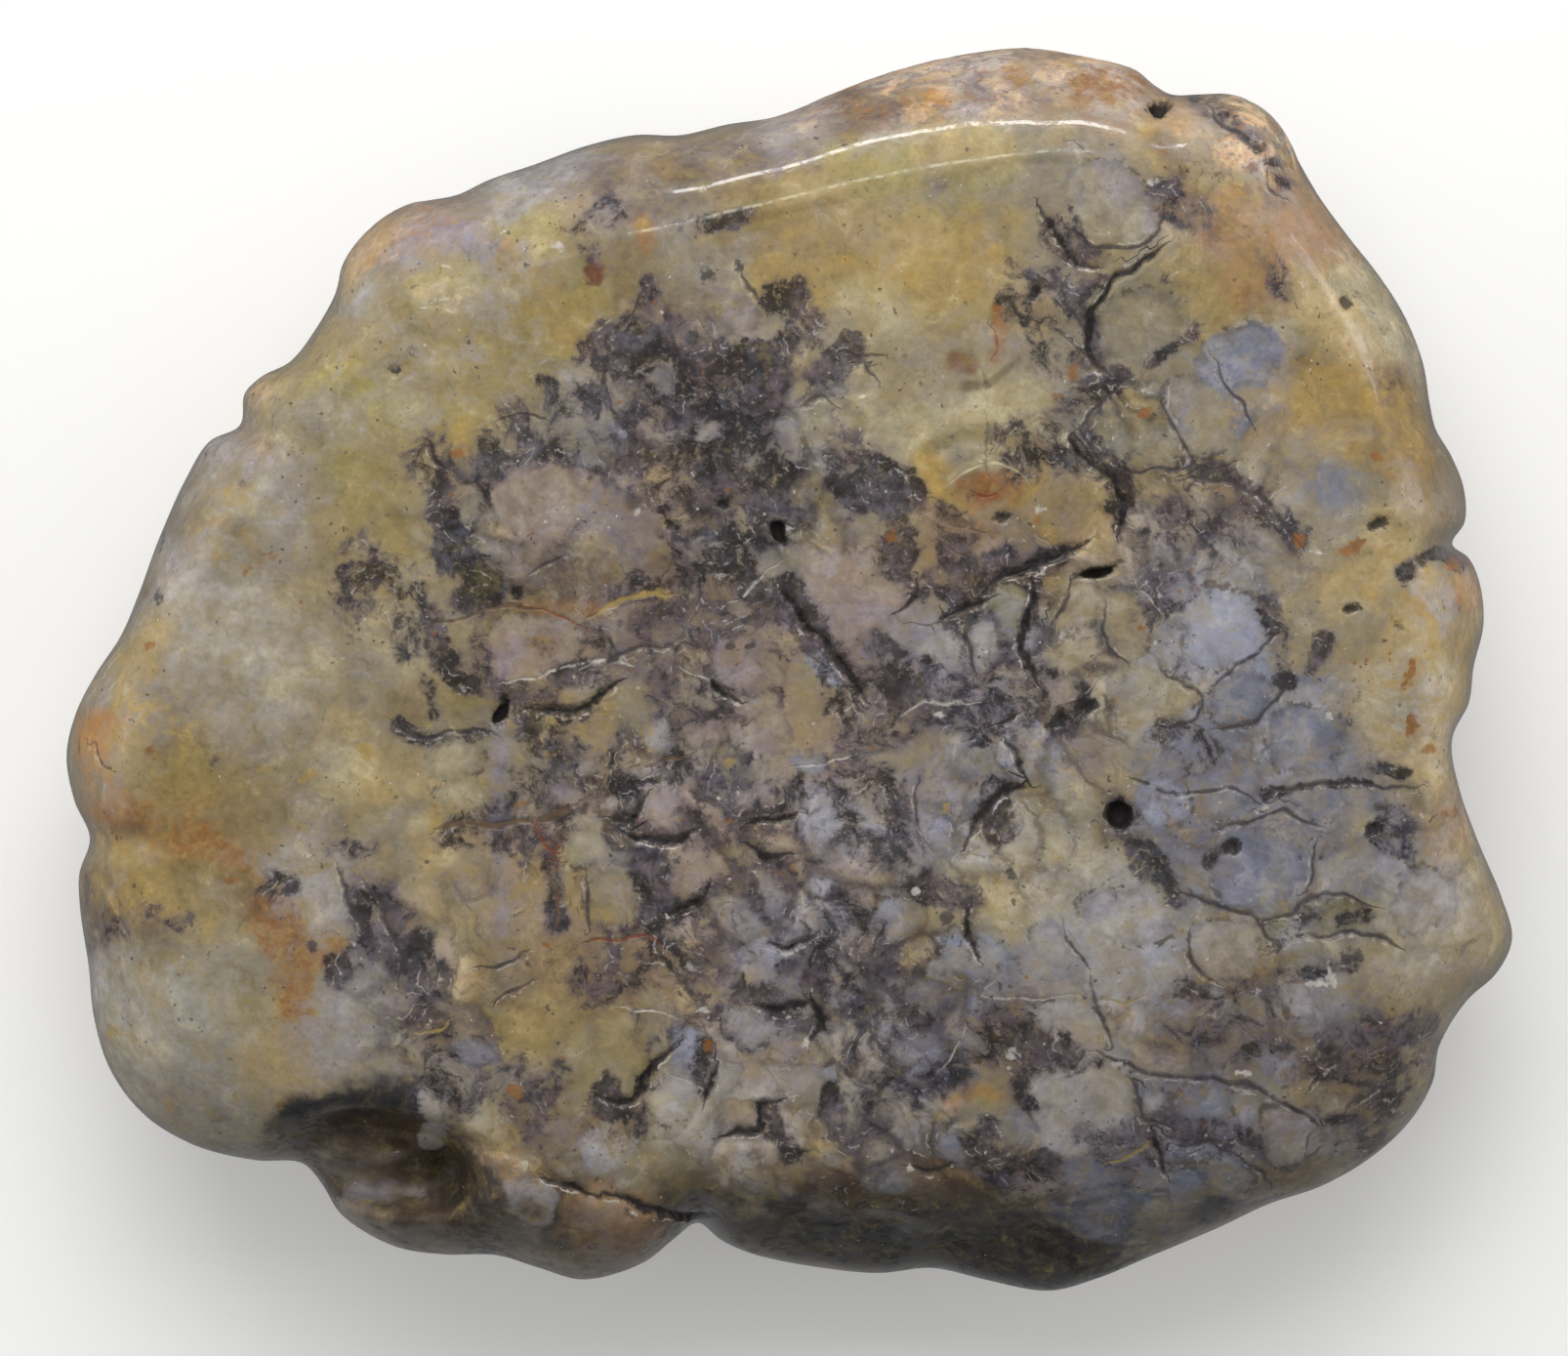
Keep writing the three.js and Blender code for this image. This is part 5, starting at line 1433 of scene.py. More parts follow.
@dataclass(frozen=True)
class Wire:
    """An output socket that takes part in Python expressions."""

    kit: "NodeKit"
    socket: bpy.types.NodeSocket

    def math(self, operation: str, *others: Value) -> "Wire":
        """Joins this value and others in a Math node."""
        sockets = {0: self, **dict(enumerate(others, 1))}
        return self.kit.node("ShaderNodeMath", {"operation": operation}, sockets)

    def reflected(self, operation: str, other: float) -> "Wire":
        """A Math node in which this value comes second."""
        return self.kit.node("ShaderNodeMath", {"operation": operation}, {0: other, 1: self})

    def __add__(self, other: Value) -> "Wire":
        """Sum."""
        return self.math("ADD", other)

    __radd__ = __add__

    def __sub__(self, other: Value) -> "Wire":
        """Difference."""
        return self.math("SUBTRACT", other)

    def __rsub__(self, other: float) -> "Wire":
        """Difference from a number."""
        return self.reflected("SUBTRACT", other)

    def __mul__(self, other: Value) -> "Wire":
        """Product."""
        return self.math("MULTIPLY", other)

    __rmul__ = __mul__

    def __truediv__(self, other: Value) -> "Wire":
        """Quotient."""
        return self.math("DIVIDE", other)

    def __rtruediv__(self, other: float) -> "Wire":
        """Quotient of a number and this value."""
        return self.reflected("DIVIDE", other)

    def __abs__(self) -> "Wire":
        """Size without the sign."""
        return self.math("ABSOLUTE")

    def least(self, other: Value) -> "Wire":
        """The smaller of two values."""
        return self.math("MINIMUM", other)

    def most(self, other: Value) -> "Wire":
        """The larger of two values."""
        return self.math("MAXIMUM", other)

    def rise(self, low: Value, high: Value) -> "Wire":
        """Smooth step from 0 at low to 1 at high."""
        sockets = {"Value": self, "From Min": low, "From Max": high}
        return self.kit.node("ShaderNodeMapRange", {"interpolation_type": "SMOOTHSTEP"}, sockets)

    def fall(self, low: Value, high: Value) -> "Wire":
        """Smooth step from 1 at low to 0 at high."""
        return 1 - self.rise(low, high)


class NodeKit:
    """Writes nodes in one tree."""

    def __init__(self, tree: bpy.types.NodeTree, prefix: str = "ShaderNode") -> None:
        """Starts on a tree.

        Args:
            tree: the tree to write in.
            prefix: what the type names of its nodes start with.
        """
        self.tree = tree
        self.prefix = prefix

    def node(
        self,
        kind: str,
        settings: Optional[dict[str, object]] = None,
        sockets: Optional[dict[Union[str, int], object]] = None,
        output: Union[str, int] = 0,
    ) -> Wire:
        """Adds a node.

        Args:
            settings: its properties, which are set first.
            sockets: a value or a wire for each input, by name or number.
            output: the output to hand back.

        Returns:
            The chosen output.
        """
        made = self.tree.nodes.new(kind if "Node" in kind else self.prefix + kind)
        for name, value in (settings or {}).items():
            setattr(made, name, value)
        for name, value in (sockets or {}).items():
            self.feed(made.inputs[name], value)
        return Wire(self, made.outputs[output])

    def feed(self, socket: bpy.types.NodeSocket, value: object) -> None:
        """Links a wire to a socket, or sets its value.

        Args:
            socket: the input.
            value: a wire, a tint or a plain value.
        """
        if isinstance(value, Wire):
            self.tree.links.new(value.socket, socket)
        elif isinstance(value, Tint):
            socket.default_value = (*value.linear(), 1.0)[: len(socket.default_value)]
        else:
            socket.default_value = value

    def attribute(self, name: str, output: str = "Fac") -> Wire:
        """Reads a named attribute of the surface."""
        return self.node("Attribute", {"attribute_name": name}, output=output)

    def scale(self, vector: Paint, factor: Value) -> Wire:
        """A vector or colour times a number."""
        return self.node("ShaderNodeVectorMath", {"operation": "SCALE"}, {0: vector, "Scale": factor})

    def shift(self, vector: Wire, other: Union[Wire, Sequence[float]]) -> Wire:
        """The sum of two vectors."""
        return self.node("ShaderNodeVectorMath", {"operation": "ADD"}, {0: vector, 1: other})

    def blend(self, share: Value, below: Paint, above: Paint) -> Wire:
        """Mixes two colours.

        Args:
            share: how much of the upper one shows.
            below: the lower colour.
            above: the upper colour.

        Returns:
            The mixed colour.
        """
        return self.node("Mix", {"data_type": "RGBA"}, {0: share, 6: below, 7: above}, output=2)

    def channels(self, colour: Wire) -> tuple[Wire, Wire, Wire]:
        """The three values of a colour."""
        split = self.node("SeparateColor", {}, {0: colour}).socket.node
        return tuple(Wire(self, split.outputs[number]) for number in range(3))

    def clouds(self, at: Wire, size: float, detail: float, rough: float, output: Union[str, int] = 0) -> Wire:
        """Fractal noise around a half, with lumps about a size in steps."""
        sockets = {"Vector": at, "Scale": 1 / size, "Detail": detail, "Roughness": rough}
        return self.node("TexNoise", {}, sockets, output)

    def cells(self, at: Wire, size: float, feature: str, output: str = "Distance") -> Wire:
        """Voronoi cells about a size in steps."""
        settings = {"feature": feature, "voronoi_dimensions": "2D"}
        return self.node("TexVoronoi", settings, {"Vector": at, "Scale": 1 / size}, output)


# ---- Finish ----


@dataclass(frozen=True)
class Fields:
    """What the layers of the stone share.

    steps and bent are places in steps, plain and bent by noise, and shard is leant and stretched for the
    angular cells. broad and crumb are three coarse and three fine noises, ragged is fine and lies around 0,
    and light and hue are clouds. wall and flake tell how far off the wall of a large or small shard is, busy
    how broken the stone is, and border how far outside a clast a place lies, with its edge frayed.
    """

    steps: Wire
    bent: Wire
    shard: Wire
    broad: tuple[Wire, Wire, Wire]
    crumb: tuple[Wire, Wire, Wire]
    ragged: Wire
    light: Wire
    hue: Wire
    wall: Wire
    flake: Wire
    busy: Wire
    border: Wire


@dataclass(frozen=True)
class AgatizedStone:
    """Tumble-polished agate and jasper: clouded grounds, mosaic cells, sooty inclusions and crisp seams."""

    name: str = "agatized_stone"
    polish: float = 0.17
    coat: float = 1.0
    coat_roughness: float = 0.04
    coat_ior: float = 1.5
    specular: float = 0.3
    cell: float = 46.0
    chip: float = 19.0
    lean: float = -55.0
    tilt: float = 34.0
    stretch: float = 1.3
    # Sizes of the noises and how far they bend the places, in steps.
    broad_size: float = 58.0
    broad_bend: float = 56.0
    crumb_size: float = 13.0
    crumb_bend: float = 14.0
    ragged_size: float = 7.0
    light_size: float = 46.0
    hue_size: float = 72.0
    crack_full: float = 0.45 * MM
    relief: float = 0.15 * MM
    relief_strength: float = 0.5

    def material(self) -> bpy.types.Material:
        """Builds the material.

        Returns:
            The material, which reads the coat that the painter laid.
        """
        made = bpy.data.materials.new(self.name)
        made.use_nodes = True
        made.node_tree.nodes.clear()
        kit = NodeKit(made.node_tree)
        on = self.fields(kit)
        opened = (kit.attribute("opened") / self.crack_full).least(1.0)
        gap = (opened * 1.2 + (on.crumb[0] - 0.5) * 1.3 + on.ragged).rise(0.6, 1.0)

        colour = self.ground(kit, on)
        colour = self.clasts(kit, on, colour)
        colour = self.mosaic(kit, on, colour)
        colour = self.bloom(kit, on, colour)
        colour = self.soot(kit, on, colour)
        colour = self.painted_glints(kit, on, colour)
        colour = self.speckle(kit, on, colour)
        colour = self.seams(kit, on, colour)
        spot = (kit.attribute("spot_edge") + on.ragged * 10 + (on.crumb[1] - 0.5) * 14).fall(-2.2, 1.8)
        speck = kit.scale(kit.attribute("spot", "Color"), 0.4 + 1.2 * on.crumb[2])
        colour = kit.blend(spot * 0.8, colour, speck)
        # Painted shade: open cracks and pits are blackened by their depth, darkest where they are deepest.
        colour = kit.blend(gap * 0.9, colour, Tint.BLACK)

        shader = made.node_tree.nodes.new("ShaderNodeBsdfPrincipled")
        out = made.node_tree.nodes.new("ShaderNodeOutputMaterial")
        made.node_tree.links.new(shader.outputs[0], out.inputs[0])
        shader.inputs["Coat Roughness"].default_value = self.coat_roughness
        shader.inputs["Coat IOR"].default_value = self.coat_ior
        shader.inputs["Specular IOR Level"].default_value = self.specular
        rind = kit.attribute("rind")
        kit.feed(shader.inputs["Base Color"], colour)
        kit.feed(shader.inputs["Roughness"], self.polish + on.light * 0.1 + opened * 0.4 + rind * 0.2)
        worn = on.crumb[1].fall(0.44, 0.52) * on.broad[0].rise(0.38, 0.5)
        kit.feed(shader.inputs["Coat Weight"], self.coat - opened * 0.8 - rind * 0.8 - worn * 0.75)
        kit.feed(shader.inputs["Normal"], self.skin(kit, on))
        return made

    def fields(self, kit: NodeKit) -> Fields:
        """Writes what the layers share.


        Returns:
            The places and the noises.
        """
        steps = kit.scale(kit.node("TexCoord", output="Object"), 1 / GRID.step)
        broad = kit.clouds(steps, self.broad_size, 2, 0.5, "Color")
        crumb = kit.clouds(steps, self.crumb_size, 2, 0.7, "Color")
        bent = steps
        for noises, amount in ((broad, self.broad_bend), (crumb, self.crumb_bend)):
            bent = kit.shift(bent, kit.scale(kit.shift(noises, (-0.5, -0.5, -0.5)), amount))
        lean = {
            "Vector": bent,
            "Rotation": (self.tilt * RADIANS, 0, self.lean * RADIANS),
            "Scale": (self.stretch, 1 / self.stretch, 1),
        }
        shard = kit.node("Mapping", {"vector_type": "TEXTURE"}, lean)
        ragged = kit.clouds(steps, self.ragged_size, 2, 0.7) - 0.5
        lump = kit.channels(broad)
        border = kit.attribute("clast_edge") + (lump[2] - 0.5) * 34 + ragged * 12
        return Fields(
            steps=steps,
            bent=bent,
            shard=shard,
            broad=lump,
            crumb=kit.channels(crumb),
            ragged=ragged,
            light=kit.clouds(bent, self.light_size, 4, 0.74),
            hue=kit.clouds(kit.shift(bent, (310, 0, 0)), self.hue_size, 3, 0.68),
            wall=kit.cells(shard, self.cell, "DISTANCE_TO_EDGE"),
            flake=kit.cells(shard, self.chip, "DISTANCE_TO_EDGE"),
            busy=kit.attribute("mosaic_cover") * (0.3 + 0.7 * border.rise(-12.0, 2.0)),
            border=border,
        )

    def ground(self, kit: NodeKit, on: Fields) -> Wire:
        """The clear stone with its clouds, more broken where it is busy, and mottled on the rind, which is
        also lightened, partly as painted light along the silhouette.

        Args:
            on: what the layers share.

        Returns:
            The colour of the ground.
        """
        rind = kit.attribute("rind")
        colour = kit.attribute("ground", "Color")
        clear = kit.channels(colour)[1].rise(0.02, 0.11)
        for field, share, tint in (
            (on.hue.rise(0.50, 0.64), 0.32 + 0.28 * on.busy, Tint.OCHRE),
            (on.hue.fall(0.36, 0.50), 0.28 + 0.32 * on.busy, Tint.LILAC),
            (on.light.rise(0.56, 0.70), 0.34, Tint.PALE_CREAM),
            (on.crumb[1].rise(0.50, 0.60), 0.26, Tint.KHAKI),
            (on.crumb[2].rise(0.48, 0.58), rind * 0.65, Tint.PLUM),
            (on.crumb[1].fall(0.42, 0.50), rind * 0.5, Tint.RUST),
            (on.light.rise(0.5, 0.6), rind * 0.5, Tint.PEACH),
        ):
            colour = kit.blend(field * share * clear, colour, tint)
        shade = 1 + (on.light - 0.5) * (1.1 + 1.7 * on.busy) + (on.crumb[0] - 0.5) * (0.45 + 0.35 * on.busy)
        # rind * 0.25 lightens the rind, the crown and the underside's sides. This is partly their paler
        # colour and partly painted light that offsets the darkening along the silhouette.
        shade = shade + on.ragged * 0.3 + rind * 0.25
        return kit.scale(colour, shade.most(0.12))

    def clasts(self, kit: NodeKit, on: Fields, colour: Wire) -> Wire:
        """Cells of one colour with cloudy insides and frayed borders, outlined in stretches.

        Args:
            on: what the layers share.
            colour: the colour so far.

        Returns:
            The colour with this layer on it.
        """
        edge = on.border
        body = kit.attribute("clast", "Color")
        body = kit.blend(on.light.rise(0.46, 0.66) * 0.5, body, Tint.PALE_GREY)
        body = kit.blend(on.hue.rise(0.48, 0.62) * 0.5, body, Tint.SAND)
        body = kit.blend(on.hue.fall(0.38, 0.5) * 0.5, body, Tint.LAVENDER)
        shade = 1.06 + (on.light - 0.5) * 1.6 + (on.crumb[0] - 0.5) * 0.7
        body = kit.scale(body, shade - 0.3 * edge.rise(-14.0, 0.0))
        colour = kit.blend(edge.fall(-4.0, 2.4) * 0.9, colour, body)
        wide = on.crumb[1].rise(0.36, 0.66) * on.broad[0].rise(0.36, 0.6) * (2.5 + 6 * on.busy)
        outline = abs(edge - 1.0).fall(wide - 2.0, wide + 3.0) * wide.rise(0.5, 2.5)
        return kit.blend(outline * 0.75, colour, kit.scale(Tint.CHARCOAL, 0.3 + 1.2 * on.crumb[2]))

    def mosaic(self, kit: NodeKit, on: Fields, colour: Wire) -> Wire:
        """Angular shards with pale hearts, frayed dark walls and thin pale arcs.

        Args:
            on: what the layers share.
            colour: the colour so far.

        Returns:
            The colour with this layer on it.
        """
        pick = kit.channels(kit.cells(on.shard, self.cell, "F1", "Color"))
        for chance, tint in zip(pick, (Tint.BLUE, Tint.PALE_LILAC, Tint.PLUM)):
            colour = kit.blend(chance.rise(0.45, 0.95) * on.busy * 0.42, colour, tint)
        colour = kit.blend(pick[0].fall(0.1, 0.4) * on.busy * 0.5, colour, Tint.TAN)
        colour = kit.scale(colour, 1 + (on.wall.rise(0.0, 0.3) - 0.55) * on.busy * 0.6)
        wide = on.broad[1].rise(0.38, 0.58)
        border = on.wall.fall(0.0, 0.05 + 0.17 * wide) * on.busy * (0.3 + 0.7 * wide)
        border = border * on.crumb[0].rise(0.34, 0.52)
        chips = on.flake.fall(0.0, 0.16) * on.broad[0].rise(0.42, 0.58)
        chips = chips * on.crumb[1].rise(0.36, 0.6) * on.busy
        tone = kit.blend(on.hue.rise(0.42, 0.6), Tint.CHARCOAL, Tint.UMBER)
        return kit.blend(border.most(chips * 0.8), colour, kit.scale(tone, 0.5 + on.crumb[2]))

    def soot(self, kit: NodeKit, on: Fields, colour: Wire) -> Wire:
        """Peppery black inclusions, which leave islands of stone, fray into haze and glint in places.

        Args:
            on: what the layers share.
            colour: the colour so far.

        Returns:
            The colour with this layer on it.
        """
        cover = kit.attribute("soot_cover") * (0.4 + 0.6 * on.border.rise(-14.0, 0.0))
        frayed = kit.clouds(kit.shift(on.bent, (13, 0, 50)), 34, 4, 0.8)
        field = frayed + (0.3 - on.wall) * 0.3 + (0.28 - on.flake) * 0.22 + on.ragged * 0.16
        edge = 0.79 - cover * 0.43
        haze = field.rise(edge - 0.24, edge + 0.02) * cover.rise(0.0, 0.3)
        mask = field.rise(edge - 0.09, edge + 0.09) * (1 - 0.7 * on.ragged.rise(0.06, 0.2))
        tone = kit.blend(on.broad[1].rise(0.42, 0.6) * 0.8, Tint.BLACK, Tint.PLUM)
        tone = kit.blend(on.hue.fall(0.42, 0.52) * on.crumb[0].rise(0.4, 0.55) * 0.4, tone, Tint.SLATE)
        tone = kit.blend(on.light.rise(0.52, 0.62) * on.crumb[0].fall(0.45, 0.6) * 0.5, tone, Tint.OLIVE)
        tone = kit.scale(tone, 0.25 + on.crumb[2].rise(0.34, 0.66) * 0.9 + on.flake * 0.8)
        colour = kit.blend(haze * 0.5, colour, Tint.PLUM)
        colour = kit.blend(mask * 0.85, colour, tone)
        # Painted glints: tiny pale specks on the soot where its grain catches the light.
        glint_specks = on.ragged.rise(0.12, 0.2) * on.crumb[1].rise(0.48, 0.6) * mask
        return kit.blend(glint_specks * 0.7, colour, Tint.PALE_LILAC)

    def painted_glints(self, kit: NodeKit, on: Fields, colour: Wire) -> Wire:
        """Painted glints: thin white lines along the shard walls where their edges catch the light, in
        stretches, where it is busy or sooty.

        Args:
            on: what the layers share.
            colour: the colour so far.

        Returns:
            The colour with this layer on it.
        """
        where = on.busy.most(kit.attribute("soot_cover")).rise(0.1, 0.6) * on.broad[2].rise(0.5, 0.58)
        # A painted glint: a thin white line just off each shard wall, laid in stretches.
        glint_line = abs(on.wall - 0.10).fall(0.0, 0.03) * where
        return kit.blend(glint_line * 0.6 * on.crumb[2].rise(0.46, 0.62), colour, Tint.WHITE)

    def bloom(self, kit: NodeKit, on: Fields, colour: Wire) -> Wire:
        """Patches of a second colour, mottled, with a soft halo.

        Args:
            on: what the layers share.
            colour: the colour so far.

        Returns:
            The colour with this layer on it.
        """
        cover = kit.attribute("bloom_cover")
        field = kit.clouds(kit.shift(on.bent, (0, 77, 0)), 30, 4, 0.78) + on.ragged * 0.12
        edge = 0.78 - cover * 0.40
        tint = kit.attribute("bloom", "Color")
        colour = kit.blend(field.rise(edge - 0.22, edge) * cover.rise(0.0, 0.4) * 0.3, colour, tint)
        patch = kit.blend(on.crumb[0].rise(0.42, 0.6) * 0.5, tint, Tint.OCHRE)
        patch = kit.scale(patch, 0.2 + 0.9 * on.crumb[1] + 0.7 * on.light + on.ragged * 0.6)
        return kit.blend(field.rise(edge - 0.07, edge + 0.1) * 0.75, colour, patch)

    def speckle(self, kit: NodeKit, on: Fields, colour: Wire) -> Wire:
        """Fine dots of ore, rust and chalk.

        Args:
            on: what the layers share.
            colour: the colour so far.

        Returns:
            The colour with this layer on it.
        """
        dots = kit.channels(kit.clouds(on.steps, 8, 1, 0.5, "Color"))
        for dot, tint, low in zip(dots, (Tint.CHARCOAL, Tint.RUST, Tint.WHITE), (0.70, 0.73, 0.75)):
            share = dot.rise(low, low + 0.03) * on.broad[1].rise(0.44, 0.6) * 0.7
            colour = kit.blend(share, colour, tint)
        return colour

    def seams(self, kit: NodeKit, on: Fields, colour: Wire) -> Wire:
        """Frayed seams, a soft shade about them, and glints where a dark one catches the light.

        Args:
            on: what the layers share.
            colour: the colour so far.

        Returns:
            The colour with this layer on it.
        """
        side, near, half = (kit.attribute(name) for name in ("seam_side", "seam_near", "seam_half"))
        tint = kit.attribute("seam", "Color")
        fray = on.ragged * 9 + (on.crumb[0] - 0.5) * 10 + (on.light - 0.5) * 14 + 1.5
        edge = abs(side) + fray * (0.25 + 0.75 * half.rise(1.5, 5.0))
        close = near.fall(half + 6.0, half + 13.0)
        is_dark = kit.channels(tint)[0].fall(0.03, 0.09)
        shade = edge.fall(half - 1.0, half * 3.0) * close * is_dark
        colour = kit.blend(shade * 0.4, colour, Tint.UMBER)
        is_pale = kit.channels(tint)[2].rise(0.3, 0.4)
        line = edge.fall(half - 2.0, half + 2.2) * close * (1 - is_pale * on.crumb[2].fall(0.38, 0.52))
        body = kit.blend(is_dark * on.crumb[2].rise(0.42, 0.62) * 0.8, tint, Tint.CHARCOAL)
        colour = kit.blend(line * 0.92, colour, kit.scale(body, 0.4 + 1.2 * on.crumb[1]))
        glint = abs(side - half - 2.5 + on.ragged * 8).fall(0.3, 1.6)
        glint = glint * on.crumb[2].rise(0.5, 0.6) * close * is_dark
        return kit.blend(glint * 0.7, colour, Tint.WHITE)

    def skin(self, kit: NodeKit, on: Fields) -> Wire:
        """The polished skin's fine relief, with a groove along each seam.

        Args:
            on: what the layers share.

        Returns:
            The normal.
        """
        side, near, half = (kit.attribute(name) for name in ("seam_side", "seam_near", "seam_half"))
        groove = (abs(side) - half).fall(-1.0, 1.5) * near.fall(half + 6.0, half + 13.0)
        height = kit.clouds(on.steps, 60, 1, 0.4) * 0.6 + kit.clouds(on.steps, 20, 2, 0.7) * 0.6
        height = height - groove * 0.4 + on.ragged * 0.09
        sockets = {"Strength": self.relief_strength, "Distance": self.relief, "Height": height}
        return kit.node("Bump", {}, sockets)


# ---- Surface grain, by Geometry Nodes ----


@dataclass(frozen=True)
class StoneGrain:
    """Grain of the weathered rind, and the pinholes and soft swell of the polished skin."""

    rind_depth: float = 0.16 * MM
    rind_grain: float = 0.8 * MM
    pinhole_depth: float = 0.10 * MM
    pinhole_pitch: float = 3.1 * MM
    # Where a pinhole's wall begins and ends, in shares of the pitch.
    pinhole_wall: Point = (0.04, 0.16)
    swell_depth: float = 0.05 * MM
    # Length of a swell in pitches of the pinholes.
    swell_pitches: float = 1.3
    seed: float = 17.0

    def sizes(self) -> dict[str, float]:
        """The tree's number inputs.

        Returns:
            Each one's value by its name.
        """
        return {
            "Rind Depth": self.rind_depth, "Rind Grain": self.rind_grain,
            "Pinhole Depth": self.pinhole_depth, "Pinhole Pitch": self.pinhole_pitch,
            "Swell Depth": self.swell_depth, "Seed": self.seed,
        }

    def tree(self) -> bpy.types.NodeTree:
        """Builds the tree.

        Returns:
            A tree that sinks the surface along its normal and gives it its finish.
        """
        tree = bpy.data.node_groups.new("stone_grain", "GeometryNodeTree")
        face = tree.interface
        face.new_socket("Geometry", in_out="INPUT", socket_type="NodeSocketGeometry")
        for name in self.sizes():
            face.new_socket(name, in_out="INPUT", socket_type="NodeSocketFloat")
        face.new_socket("Finish", in_out="INPUT", socket_type="NodeSocketMaterial")
        face.new_socket("Geometry", in_out="OUTPUT", socket_type="NodeSocketGeometry")
        kit = NodeKit(tree, "GeometryNode")
        entry = tree.nodes.new("NodeGroupInput")
        given = {socket.name: Wire(kit, socket) for socket in entry.outputs if socket.name}
        inward = kit.scale(kit.node("InputNormal"), self.depth(kit, given) * -1.0)
        moved = kit.node("SetPosition", {}, {"Geometry": given["Geometry"], "Offset": inward})
        whole = kit.node("RealizeInstances", {}, {"Geometry": moved})
        dressed = kit.node("SetMaterial", {}, {"Geometry": whole, "Material": given["Finish"]})
        kit.feed(tree.nodes.new("NodeGroupOutput").inputs[0], dressed)
        return tree

    def depth(self, kit: NodeKit, given: dict[str, Wire]) -> Wire:
        """How deep the surface is sunk.

        Args:
            given: the tree's inputs by name.

        Returns:
            The depth in metres.
        """
        rind = kit.node("InputNamedAttribute", {"data_type": "FLOAT"}, {"Name": "rind"}, "Attribute")
        at = {"Vector": kit.node("InputPosition"), "W": given["Seed"]}
        pitch = given["Pinhole Pitch"]
        grain = self.lumps(kit, at, given["Rind Grain"], 3.0) * given["Rind Depth"] * rind
        swell = self.lumps(kit, at, pitch * self.swell_pitches, 1.0) * given["Swell Depth"]
        cell = kit.node("ShaderNodeTexVoronoi", {"voronoi_dimensions": "4D"}, {**at, "Scale": 1 / pitch})
        return grain + swell + cell.fall(*self.pinhole_wall) * given["Pinhole Depth"]

    @staticmethod
    def lumps(kit: NodeKit, at: dict[str, Wire], size: Wire, detail: float) -> Wire:
        """Seeded noise with lumps of a size in metres."""
        sockets = {**at, "Scale": 1 / size, "Detail": detail}
        return kit.node("ShaderNodeTexNoise", {"noise_dimensions": "4D"}, sockets)

    def lay(self, piece: bpy.types.Object, finish: bpy.types.Material) -> None:
        """Runs the tree on a piece and keeps the result as its mesh.

        Args:
            piece: the piece to sink.
            finish: its material.
        """
        modifier = piece.modifiers.new("grain", "NODES")
        modifier.node_group = self.tree()
        values = {**self.sizes(), "Finish": finish}
        for item in modifier.node_group.interface.items_tree:
            if item.in_out == "INPUT" and item.name in values:
                modifier[item.identifier] = values[item.name]
        bpy.context.view_layer.update()
        depsgraph = bpy.context.evaluated_depsgraph_get()
        baked = bpy.data.meshes.new_from_object(piece.evaluated_get(depsgraph), depsgraph=depsgraph)
        piece.modifiers.clear()
        piece.data = baked


# ---- The stone ----


